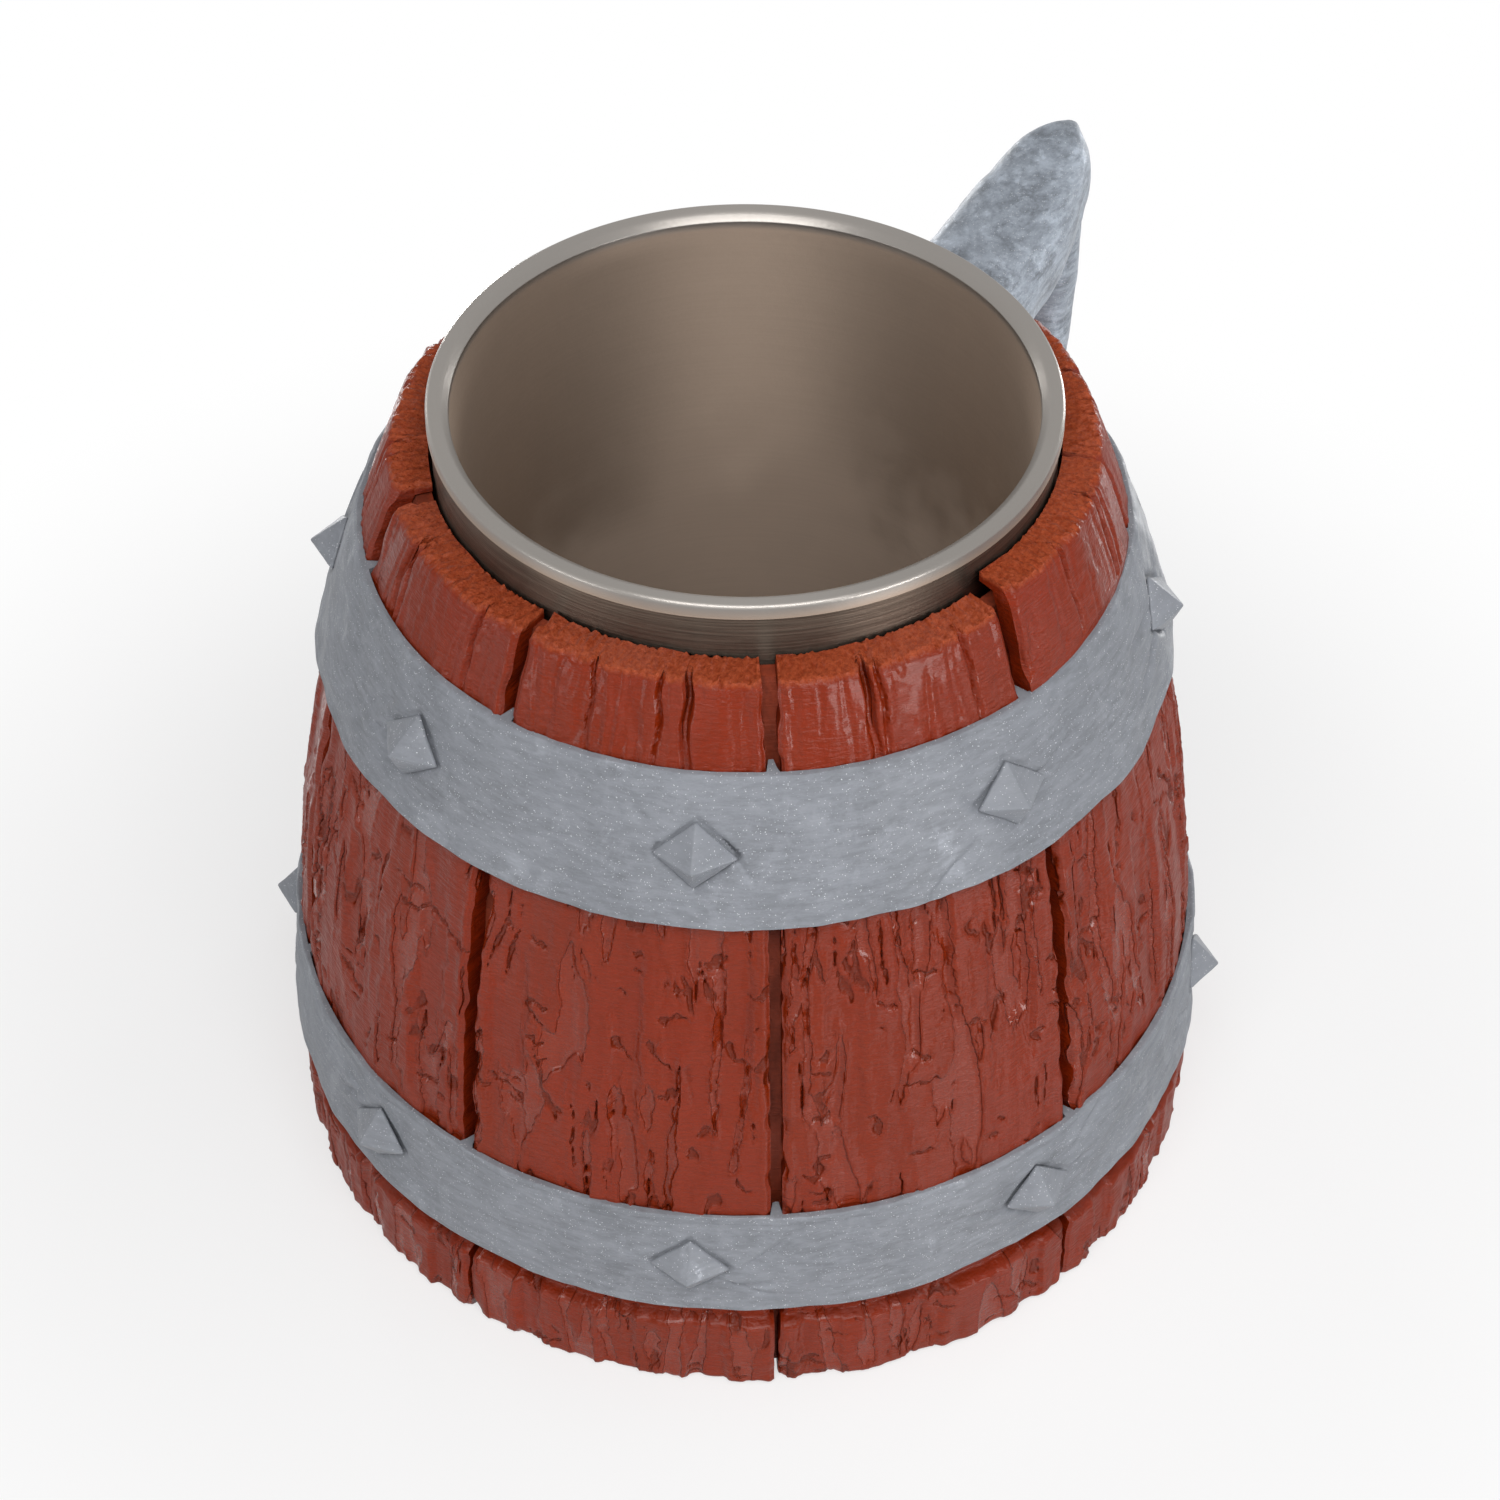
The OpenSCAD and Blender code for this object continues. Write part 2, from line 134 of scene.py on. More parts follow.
class HewnSurface(bpy.types.PropertyGroup):
    hollow_depth: length("Hollow depth", "Depth of the long hollows between the hoops", 0.0008)
    hollow_width: length("Hollow width", "Usual width of a hollow", 0.0065)
    hollow_length: length("Hollow length", "Usual length of a hollow", 0.036)
    hollow_start: length("Hollow start", "How far a hollow's floor starts outside the face", 0.0002)
    notch_depth: length("Notch depth", "Depth of the notches in the foot", 0.0007)
    notch_width: length("Notch width", "Usual width of a notch", 0.0045)
    vary: share("Variation", "How much hollows and notches differ from the usual", 0.3)
    ridge_depth: length("Ridge depth", "Height of the long crisp ridges along a stave", 0.00035)
    recess_depth: length("Recess depth", "Depth of the channels and flaked-off patches", 0.0006)
    lip_height: length("Lip height", "Height of the raised lip beside a channel", 0.00018)
    crack_depth: length("Crack depth", "Depth of the fine cracks", 0.0004)
    edge_wear: length("Edge wear", "How far the staves' edges are worn back", 0.0008)
    end_grain: length("End grain", "Roughness of the stave's top ends", 0.00045)
    foot_lumps: length("Foot lumps", "Depth of the lumps round the foot", 0.0004)


class HoopSurface(bpy.types.PropertyGroup):
    thick_low: length("Thickness below", "Thickness of a hoop at its bottom edge", 0.0021)
    thick_high: length("Thickness above", "Thickness of a hoop at its top edge", 0.0013)
    bevel: length("Bevel", "Bevel on a hoop's edges", 0.0005)
    rim: length("Rim", "Width of the rim above the fine line along a hoop's top", 0.0016)
    dent_depth: length("Dent depth", "Depth of the soft dents", 0.0006)
    crease_depth: length("Crease depth", "Depth of the creases near the studs", 0.00045)
    edge_wave: length("Edge wave", "How far a hoop's edges wave up and down", 0.00025)
    stud_width: length("Stud width", "Width of a stud from corner to corner", 0.0115)
    stud_tall: length("Stud height", "Height of a stud from corner to corner", 0.0098)
    stud_turn: angle("Stud turn", "Angle from the handle to the first stud", 26)
    stud_bevel: length("Stud bevel", "Wear along a stud's edges", 0.00018)
    skin: length("Handle skin", "Spacing of the handle's mesh", 0.0007)
    hammer_depth: length("Hammer depth", "Depth of the handle's hammer marks", 0.00035)


class CupSizes(bpy.types.PropertyGroup):
    lip_width: length("Lip width", "Width of the lip", 0.0032)
    lip_height: length("Lip height", "Height of the lip", 0.0024)
    lip_crown: length("Lip crown", "Height of the lip's crown above its edges", 0.0011)
    collar_length: length("Collar length", "Length of the straight collar under the lip", 0.03)
    foot_radius: length("Foot radius", "Radius of the cup at its foot", 0.037)
    steel: length("Steel", "Thickness of the steel", 0.0008)
    wall_space: length("Wall space", "Space between the two walls at the foot", 0.001)
    floor_round: length("Floor round", "Radius between wall and floor inside", 0.009)
    foot_round: length("Foot round", "Radius at the foot of the outer wall", 0.004)
    turned_edge: length("Turned edge", "Width of the outer wall's turned-in edge", 0.006)


class Finishes(bpy.types.PropertyGroup):
    stave: colour("Stave", "Rust brown of the staves", (0.19, 0.015, 0.0015))
    stave_cloud: colour("Stave clouds", "Darker clouds in the staves' brown", (0.15, 0.017, 0.003))
    stave_worn: colour("Stave mottling", "Worn tint in the staves' brown", (0.21, 0.02, 0.003))
    stave_line: colour("Stave lines", "Brown of the fine level lines", (0.14, 0.016, 0.003))
    recess: colour("Recess", "Deeper brown of cracks and flaked patches", (0.2, 0.02, 0.0035))
    end: colour("Stave end", "Lighter brown of the rough stave ends", (0.34, 0.066, 0.024))
    end_dust: colour("Stave end specks", "Darker specks on the stave ends", (0.2, 0.028, 0.008))
    # Painted shade: this dark brown darkens the fine cracks of the staves
    crack: colour("Crack", "Dark brown of the fine cracks", (0.06, 0.010, 0.004))
    # Painted light: the core is painted lighter than the staves' brown to brighten the shaded gaps between
    # them
    core: colour("Core", "Dull brown of the core", (0.32, 0.05, 0.018))
    core_mottle: colour("Core mottling", "Darker mottling of the core", (0.12, 0.02, 0.008))
    hoop: colour("Hoop", "Silver grey of the hoops", (0.19, 0.2, 0.221))
    handle: colour("Handle", "Silver grey of the handle", (0.22, 0.245, 0.28))
    sparkle: colour("Sparkle", "Light flecks in the grey pieces", (0.85, 0.87, 0.9))
    steel: colour("Steel", "Warm grey of the steel cup", (0.335, 0.262, 0.207))
    lip: colour("Lip", "Paler steel of the polished lip", (0.29, 0.27, 0.25))
    # Painted light: this pale tint lightens the rough lower wall inside the cup
    blasted_and_painted_light: colour("Blasted steel", "Tint of the duller lower wall inside the cup", (1.0, 0.9, 0.8))
    floor: colour("Floor", "Pale floor", (0.86, 0.86, 0.86))
    layer: length("Layer", "Height of the fine level lines in the moulded pieces", 0.0004)
    gloss: share("Gloss", "Clear gloss on the staves, most where they are flaked", 0.25)


class StageSizes(bpy.types.PropertyGroup):
    azimuth: angle("Azimuth", "Camera angle round the tankard", -61.5)
    elevation: angle("Elevation", "Camera angle above the table", 44.23)
    distance: length("Distance", "Camera distance from the tankard's middle", 0.5672)
    middle: length("Middle", "Height that the camera and the lamps face", 0.06345)
    lens: FloatProperty(name="Lens", description="Focal length on a 36 mm sensor", default=90.69,
                        unit="CAMERA")
    shift: FloatProperty(name="Shift", description="Sideways shift of the view", default=0.00325)
    key_power: power("Key power", "Power of the lamp overhead", 2.7)
    fill_power: power("Fill power", "Power of the lamp that fills the shadows", 1.0)
    side_power: power("Side power", "Power that each lamp behind takes a share of", 6.0)
    front_power: power("Front power", "Power that each low lamp in front takes a share of", 4.0)
    top_power: power("Top power", "Power of the lamp over the camera", 8.6)
    world: share("World", "Strength of the even light from all round", 0.02)


# Shader maths

class Value:
    """One output socket of a node; arithmetic on it adds Math nodes."""

    def __init__(self, nodes, socket):
        self.nodes = nodes
        self.socket = socket

    def math(self, operation, first, second):
        return self.nodes.node("Math", {"operation": operation}, {0: first, 1: second})

    def __add__(self, other):
        return self.math("ADD", self, other)

    __radd__ = __add__

    def __sub__(self, other):
        return self.math("SUBTRACT", self, other)

    def __rsub__(self, other):
        return self.math("SUBTRACT", other, self)

    def __mul__(self, other):
        return self.math("MULTIPLY", self, other)

    __rmul__ = __mul__


class Nodes:
    """The nodes of a material or world under construction."""

    def __init__(self, tree):
        self.tree = tree

    def node(self, kind, settings=None, inputs=None, output=0):
        """Add a node: its settings first, then the values or links of its sockets."""
        made = self.tree.nodes.new("ShaderNode" + kind)
        for key, value in (settings or {}).items():
            setattr(made, key, value)
        for key, value in (inputs or {}).items():
            self.feed(made.inputs[key], value)
        return Value(self, made.outputs[output])

    def feed(self, socket, value):
        if isinstance(value, Value):
            self.tree.links.new(value.socket, socket)
        elif socket.type == "RGBA":
            socket.default_value = (*value, 1.0)
        else:
            socket.default_value = value

    def seen(self):
        """One for rays from the camera and for mirrored or refracted ones, else zero."""
        camera, mirrored, refracted = (self.node("LightPath", output=f"Is {kind} Ray")
                                       for kind in ("Camera", "Glossy", "Transmission"))
        return camera + mirrored + refracted

    def blend(self, output, factor, first, second):
        """Send a mix of two shaders to the output node."""
        mixed = self.node("MixShader", {}, {0: factor, 1: first, 2: second})
        self.tree.links.new(mixed.socket, self.tree.nodes[output].inputs["Surface"])


class Finish(Nodes):
    """A material with one main shader."""

    def __init__(self, name, **constants):
        self.material = bpy.data.materials.new(name)
        self.material.use_nodes = True
        super().__init__(self.material.node_tree)
        self.shader = self.tree.nodes["Principled BSDF"]
        self.surface = Value(self, self.shader.outputs[0])
        self.set(**constants)

    def set(self, **inputs):
        """Set or link sockets of the shader, named with _ for a blank."""
        for name, value in inputs.items():
            self.feed(self.shader.inputs[name.replace("_", " ")], value)

    def mix(self, factor, first, second):
        """Mix two colours."""
        return self.node("Mix", {"data_type": "RGBA"}, {0: factor, 6: first, 7: second}, output=2)

    def place(self):
        """Place on the object itself, in metres."""
        return self.node("TexCoord", output=3)

    def stretched(self, x, y, z):
        """Place on the object with each direction multiplied."""
        return self.node("VectorMath", {"operation": "MULTIPLY"}, {0: self.place(), 1: (x, y, z)})

    def grain(self, vector, scale, detail=2.0, rough=0.5, bend=0.0):
        return self.node("TexNoise", {}, {"Vector": vector, "Scale": scale, "Detail": detail,
                                          "Roughness": rough, "Distortion": bend})

    def between(self, value, low, high, out_low=0.0, out_high=1.0):
        """Smooth step of a value from low to high."""
        return self.node("MapRange", {"interpolation_type": "SMOOTHSTEP"},
                         {0: value, 1: low, 2: high, 3: out_low, 4: out_high})

    def patchy(self, low, high, *noise_settings):
        """Noise as soft patches, from 0 where it is below low to 1 where it is above high."""
        return self.between(self.grain(*noise_settings), low, high)

    def attribute(self, name):
        return self.node("Attribute", {"attribute_name": name}, output=2)

    def bump(self, height, distance):
        self.set(Normal=self.node("Bump", {}, {"Height": height, "Distance": distance}))


# Noise on a grid of fixed random numbers

def scatter(ix, iy, seed):
    """A fixed random share from 0 to 1 for each whole-number place."""
    h = (ix.astype(np.int64) * 73856093) ^ (iy.astype(np.int64) * 19349663) ^ (seed * 83492791)
    h &= 0xFFFFFFFF
    h = ((h ^ (h >> 13)) * 1274126177) & 0xFFFFFFFF
    return ((h ^ (h >> 16)) & 0xFFFF) / 65535.0


def ease(t):
    return t * t * t * (t * (6 * t - 15) + 10)


def step(value, low, high):
    """Smooth step from 0 at low to 1 at high."""
    t = np.clip((value - low) / (high - low), 0.0, 1.0)
    return t * t * (3 - 2 * t)


def ripple(x, y, seed):
    """Smooth noise from about -1 to 1."""
    ix, iy = np.floor(x), np.floor(y)
    fx, fy = x - ix, y - iy

    def corner(dx, dy):
        turn = 2 * np.pi * scatter(ix + dx, iy + dy, seed)
        return np.cos(turn) * (fx - dx) + np.sin(turn) * (fy - dy)

    sx, sy = ease(fx), ease(fy)
    near = corner(0, 0) * (1 - sx) + corner(1, 0) * sx
    far = corner(0, 1) * (1 - sx) + corner(1, 1) * sx
    return 1.5 * (near * (1 - sy) + far * sy)


# Making pieces

def quads(ids, wrap_first=False, wrap_second=False):
    """Faces between the neighbours of a grid of vertex numbers."""
    if wrap_first:
        ids = np.concatenate([ids, ids[:1]], axis=0)
    if wrap_second:
        ids = np.concatenate([ids, ids[:, :1]], axis=1)
    return np.stack([ids[:-1, :-1], ids[1:, :-1], ids[1:, 1:], ids[:-1, 1:]], axis=-1).reshape(-1, 4)


def dress(piece, body, nodes, finish):
    """Give a piece its finish and body, and hide the CAD nodes that it stands for."""
    piece.data.materials.clear()
    piece.data.materials.append(finish.material)
    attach(piece, body)
    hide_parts(*nodes)


def add_object(context, name, data):
    """Add an object to the scene."""
    made = bpy.data.objects.new(name, data)
    context.scene.collection.objects.link(made)
    return made


def smooth(mesh):
    mesh.polygons.foreach_set("use_smooth", np.ones(len(mesh.polygons), dtype=bool))


def add_piece(context, name, points, faces, sharp_angle, marks=None):
    """Make a mesh object from points in millimetres, faces and named marks on its points."""
    mesh = bpy.data.meshes.new(name)
    mesh.from_pydata((np.asarray(points) * MM).tolist(), [], faces)
    mesh.validate()
    smooth(mesh)
    mesh.set_sharp_from_angle(angle=sharp_angle)
    for mark, values in (marks or {}).items():
        layer = mesh.attributes.new(mark, "FLOAT", "POINT")
        layer.data.foreach_set("value", np.asarray(values, dtype=np.float32))
    return add_object(context, name, mesh)


def revolve(profile, around):
    """Points of an outline of [radius, height] turned round the axis, and their numbers in a grid."""
    turn = np.arange(around) * 2 * np.pi / around
    radius, height = np.asarray(profile).T
    points = np.stack([np.outer(np.cos(turn), radius), np.outer(np.sin(turn), radius),
                       np.broadcast_to(height, (around, len(height)))], axis=-1)
    ids = np.arange(around * len(height)).reshape(around, -1)
    return points.reshape(-1, 3), ids


# Barrel

def belly(sizes, z):
    """Radius of the staves' outer face at height z, in millimetres."""
    outer, inner = mm(sizes.belly_radius), mm(sizes.mouth_radius)
    return outer - (outer - inner) * (np.maximum(z, 0.0) / mm(sizes.height)) ** sizes.belly_power


def stave_face(sizes, z):
    """Radius of a stave's outer face with its foot, ledge and groove."""
    foot_top = mm(sizes.foot_height)
    bevel = mm(sizes.foot_bevel)
    foot = mm(sizes.foot_step) * (1 - step(z, foot_top - 1.1, foot_top + 0.2))
    groove = mm(sizes.groove_depth) * step(z, foot_top - 0.6, foot_top + 0.3) \
        * (1 - step(z, mm(LOWER_HOOP[0].z) - 1.0, mm(LOWER_HOOP[0].z)))
    under = bevel * np.clip(1 - z / bevel, 0, 1) ** 2
    return belly(sizes, z) + foot - groove - under


def split_faces(across, up, width, run, seed):
    """Height of flat faces between straight ridges, about -1 to 1, width apart and run long."""
    cell = across / width
    left = np.floor(cell)

    def ridge(number):
        return number + 0.7 * scatter(number, number * 0, seed) - 0.35

    left = np.where(cell < ridge(left), left - 1, left)
    left = np.where(cell >= ridge(left + 1), left + 1, left)
    along = (cell - ridge(left)) / (ridge(left + 1) - ridge(left))
    low = ripple(left * 3.7 + 0.5, up / run, seed + 1)
    high = ripple((left + 1) * 3.7 + 0.5, up / run, seed + 1)
    return low + (high - low) * along


def hewn(surface, across, up, seed, calm):
    """Height of the hewn face, its channels and its cracks, across and up a stave in millimetres.

    Where it is calm, only the long ridges stay.
    """
    jog = 0.5 * ripple(across / 2.2, up / 4.5, seed + 1) + 0.3 * ripple(across / 0.8, up / 1.4, seed + 2)
    grain = across + 1.6 * ripple(across / 14, up / 30, seed + 3) + jog
    faces = split_faces(grain, up, 5.0, 38, seed + 4) + 0.6 * split_faces(grain, up, 1.8, 24, seed + 5)
    run = ripple(grain / 5.0, up / 60, seed + 7) + 0.2 * ripple(grain / 2.2, up / 14, seed + 8)
    present = step(ripple(across / 7, up / 30, seed + 9), -0.2, 0.25)
    channel = np.clip(1 - np.abs(run) / 0.4, 0, 1) * present
    patch = ripple(grain / 4.2, up / 34, seed + 10) + 0.45 * ripple(grain / 2.0, up / 12, seed + 11)
    flake = np.maximum(channel, np.clip(0.55 + (patch - 0.6) / 0.8, 0, 1))
    check = ripple(grain / 3.4, up / 26, seed + 12)
    checked = step(ripple(across / 8, up / 15, seed + 13), 0.0, 0.35)
    slant = up + 0.3 * across + 1.6 * jog
    cross = ripple(across / 9, slant / 4.5, seed + 14)
    crossed = step(ripple(across / 5, up / 8, seed + 15), 0.12, 0.42)
    crack = np.maximum(np.clip(1 - np.abs(check) / 0.24, 0, 1) * checked,
                       np.clip(1 - np.abs(cross) / 0.3, 0, 1) * crossed)
    plates = np.clip(5 * check, -1, 1) * checked + 0.7 * np.clip(5 * cross, -1, 1) * crossed
    recess = step(flake, 0.5, 0.66) * (0.75 + 0.5 * np.clip(flake - 0.6, 0, 1))
    lip = np.exp(-((flake - 0.4) / 0.09) ** 2)
    terrace = np.clip(3 * run, -1, 1) * present
    broken = (mm(surface.ridge_depth) * (0.4 * terrace + 0.4 * plates) - mm(surface.recess_depth) * recess
              + mm(surface.lip_height) * lip - mm(surface.crack_depth) * step(crack, 0.4, 0.9))
    height = (mm(surface.ridge_depth) * faces + broken * (1 - calm)
              + 0.02 * ripple(across / 0.9, up / 1.6, seed + 16))
    return height, flake * (1 - calm), crack * (1 - calm)


def uneven(stave, place, kind):
    """A value from -1 to 1 that differs from stave to stave and from hollow to hollow."""
    return math.sin(math.radians(137 * stave + 79 * place + 211 * kind))


def hewn_places(surface, stave, kind, width):
    """Middle and half width of each hollow or notch of a stave, as angles, and its number."""
    share_turn = 2 * math.pi / STAVES / HOLLOWS
    for place in range(HOLLOWS):
        offset = place - (HOLLOWS - 1) / 2 + surface.vary / 2 * uneven(stave, place, kind)
        yield share_turn * offset, width / 2 * (1 + surface.vary * uneven(stave, place, kind + 1)), place


def hollows(sizes, surface, turn, z, stave):
    """Depth of the long hollows and of the notches in the foot, turn from the stave's middle."""
    low, high = mm(LOWER_HOOP[1].z), mm(UPPER_HOOP[0].z)
    start = mm(surface.hollow_start)
    belly_r = mm(sizes.belly_radius)
    depth = np.zeros_like(z)
    for middle, half, place in hewn_places(surface, stave, 0, mm(surface.hollow_width)):
        run = min(mm(surface.hollow_length) * (1 + surface.vary * uneven(stave, place, 2)), high - low)
        bottom = low + (high - low - run) * (1 + uneven(stave, place, 3)) / 2
        along = np.clip((z - bottom) / run, 0, 1)
        floor = (start + mm(surface.hollow_depth)) * np.sqrt(4 * along * (1 - along)) - start
        inside = step(half - np.abs(turn - middle) * belly_r, -0.45, 0.75)
        depth = np.maximum(depth, np.maximum(floor, 0) * inside)
    for middle, half, place in hewn_places(surface, stave, 4, mm(surface.notch_width)):
        inside = step(half - np.abs(turn - middle) * belly_r, -0.5, 0.5)
        depth = np.maximum(depth, mm(surface.notch_depth) * inside * (z < mm(sizes.foot_height)))
    return depth


def behind_hoops(z):
    """One where a hoop covers the staves, else zero."""
    behind = np.zeros_like(z)
    for low, high in (LOWER_HOOP, UPPER_HOOP):
        under_top = 1 - step(z, mm(high.z) - 1.2, mm(high.z) - 0.3)
        behind = np.maximum(behind, step(z, mm(low.z) - 0.2, mm(low.z) + 0.6) * under_top)
    return behind


def spread(low, high, count, dense):
    """Places from low to high, closer together where the density is higher."""
    fine = np.linspace(low, high, 4001)
    total = np.cumsum(dense(fine))
    return np.interp(np.linspace(total[0], total[-1], count + 1), total, fine)


class TANKARD_OT_staves(bpy.types.Operator):
    """Hew the nine staves from foot to top"""
    bl_idname = "tankard.staves"
    bl_label = "Staves"

    columns = 130
    rows = 330
    layers = 6
    back_step = 13
    sharp_angle = math.radians(60)
    # Millimetres: gap to the cup's collar, depth of a hoop's seat, and the most that relief stands out
    cup_gap = 0.5
    hoop_seat = 0.2
    most_relief = 0.5
    # Share of the flaking that is missing at the top
    calm_top = 0.7
    # For each stave: rise of its top in millimetres, and slope of its top and place of its split in degrees
    rise = (0, 1, -0.6, 0.8, -0.4, 0, 0.2, 2.6, 1.2)
    slope = (1, -2, 2, -1.5, 1.5, -1, 1.5, -2, 1)
    split = (-6, 8, -4, 7, -9, 7.4, -5.1, 9, 4)

    def execute(self, context):
        finish = stave_finish(context.scene.tankard_finishes)
        for index in range(STAVES):
            points, faces, marks = self.shape(context, index)
            piece = add_piece(context, f"hewn_stave_{index + 1}", points, faces, self.sharp_angle, marks)
            dress(piece, "barrel", [f"stave_{index + 1}"], finish)
        return {"FINISHED"}

    def grid(self):
        """Vertex numbers of a hollow block: full front, ends and sides, and a coarse back."""
        need = np.zeros((self.columns + 1, self.rows + 1, self.layers + 1), dtype=bool)
        need[:, :, 0] = True
        need[:, [0, -1], :] = True
        need[[0, -1], :, :] = True
        need[::self.back_step, :, -1] = True
        ids = np.full(need.shape, -1)
        ids[need] = np.arange(need.sum())
        faces = np.concatenate([
            quads(ids[:, :, 0]), quads(ids[:, 0, ::-1]), quads(ids[:, -1, :]),
            quads(ids[0, :, :].T), quads(ids[-1, :, ::-1].T),
            quads(ids[::self.back_step, 1:-1, -1])[:, ::-1],
        ]).tolist()
        for start in range(0, self.columns, self.back_step):
            columns = slice(start, start + self.back_step + 1)
            ends = [start + self.back_step, start]
            faces.append(ids[columns, 0, -1].tolist() + ids[ends, 1, -1].tolist())
            faces.append(ids[columns, -1, -1].tolist()[::-1] + ids[ends[::-1], -2, -1].tolist())
        return np.nonzero(need), faces

    def shape(self, context, index):
        """Points, faces and marks of one stave."""
        sizes, surface = context.scene.tankard_barrel, context.scene.tankard_hewn
        height = mm(sizes.height)
        half_pitch = math.pi / STAVES
        split_place = math.radians(self.split[index]) / half_pitch
        seed = 40 * (index + 1)
        (i, j, k), faces = self.grid()
        ledge = mm(sizes.foot_height)
        side = spread(-1, 1, self.columns, lambda u: 1 + 2 * np.exp(-((u - split_place) / 0.05) ** 2)
                      + 1.2 * np.exp(-((1 - np.abs(u)) / 0.05) ** 2))[i]
        z = spread(0, height, self.rows, lambda h: 1 + 1.6 * np.exp(-((h - ledge) / 1.2) ** 2)
                   + 2.0 * np.exp(-((height - h) / 1.5) ** 2))[j]
        depth = k / self.layers
        outer = stave_face(sizes, z)
        core_top = mm(CORE[1].z)
        lip = mm(CUP_OUTER[1].x) + self.cup_gap
        inner = np.where(z > core_top + 0.05, lip, belly(sizes, z) - mm(sizes.stave_thickness))
        radius = outer + (inner - outer) * depth
        gap = np.where(z < ledge, mm(sizes.foot_gap), mm(sizes.stave_gap))
        half = half_pitch - np.arcsin(gap / 2 / radius)
        turn = side * half
        across = turn * mm(sizes.belly_radius)
        from_edge = (1 - np.abs(side)) * half * radius
        from_top = height - z

        calm = self.calm_top * step(z, mm(UPPER_HOOP[0].z), mm(UPPER_HOOP[1].z))
        relief, flake, cracks = hewn(surface, across, z, seed, calm)
        wobble = (0.7 * ripple(across / 2.2, z / 5, seed + 17)
                  + 0.3 * ripple(across / 0.8, z / 1.6, seed + 18))
        hollow = hollows(sizes, surface, turn + wobble / radius, z + 2 * wobble, index)
        foot = 1 - step(z, ledge - 0.5, ledge + 1.0)
        lumps = mm(surface.foot_lumps) * (ripple(across / 4.5, z / 14, seed + 21)
                                          + 0.5 * ripple(across / 2.0, z / 7, seed + 22) - 0.35)
        relief = relief * (1 - 0.4 * foot) + lumps * foot - hollow
        chips = np.clip(2 * ripple(z / 6, np.sign(side) * 5 + index + 0.5, seed + 23) - 0.3, 0, 1)
        wear = mm(surface.edge_wear)
        relief = relief - 0.6 * wear * np.exp(-(from_edge / 0.4) ** 2) \
            + 0.25 * wear * np.exp(-((from_edge - 1.0) / 0.6) ** 2) * (1 - foot) \
            - wear * chips * np.exp(-(from_edge / 1.5) ** 2)
        nicks = np.clip(2 * ripple(across / 2.6, z * 0 + index + 0.5, seed + 24) - 0.3, 0, 1)
        relief = relief - wear * (0.3 + nicks) * np.exp(-(from_top / 0.45) ** 2)
        split = self.splits(sizes, index, across, z, seed)
        relief = relief - mm(sizes.split_depth) * split
        behind = behind_hoops(z)
        relief = relief * (1 - behind) - self.hoop_seat * behind
        relief = np.minimum(relief, self.most_relief)

        sunk = radius + relief * (1 - depth) ** 2
        frayed = wear * np.clip(0.8 * ripple(z / 4, np.sign(side) * 7 + index + 0.5, seed + 26), 0, 1)
        turn = turn - np.sign(side) * np.abs(side) ** 14 * frayed / radius
        tilt = math.tan(math.radians(self.slope[index])) * radius * np.sin(turn)
        top = step(z, 0.75 * height, height)
        rough = mm(surface.end_grain) * (ripple(across / 1.3, radius / 1.1, seed + 27)
                                         + 0.6 * ripple(across / 0.7, radius / 0.6, seed + 28) - 0.3)
        up = z + top * (self.rise[index] + tilt) + rough * np.exp(-(from_top / 0.7) ** 2) * (z > 1)
        bearing = turn + sizes.stave_turn + index * 2 * half_pitch
        points = np.stack([sunk * np.cos(bearing), sunk * np.sin(bearing), up], axis=1)
        marks = {
            "flake": np.clip(np.maximum(flake, split) + 0.1 * hollow * (1 - foot), 0, 1) * (1 - depth),
            "crack": np.maximum(cracks, 0.9 * split) * (1 - depth),
            "end": step(-from_top, -0.8, 0.0),
        }
        return points, faces, marks

    def splits(self, sizes, index, across, z, seed):
        """Depth of a stave's main split and two lesser ones, from 0 to 1, all running down from its top."""
        draw = np.random.default_rng(seed)
        cuts = ((1.0, self.split[index]), (0.6, draw.uniform(-15, -3)), (0.6, draw.uniform(3, 15)))
        reach = np.clip(1 - (mm(sizes.height) - z) / mm(sizes.split_length), 0, 1) ** 0.7
        deepest = np.zeros_like(z)
        for depth, place in cuts:
            wander = 0.8 * ripple(z / 5, z * 0 + place, seed + 25)
            cut = across - math.radians(place) * mm(sizes.belly_radius) - wander
            deepest = np.maximum(deepest, depth * reach * np.exp(-(cut / (0.8 * depth)) ** 4))
        return deepest


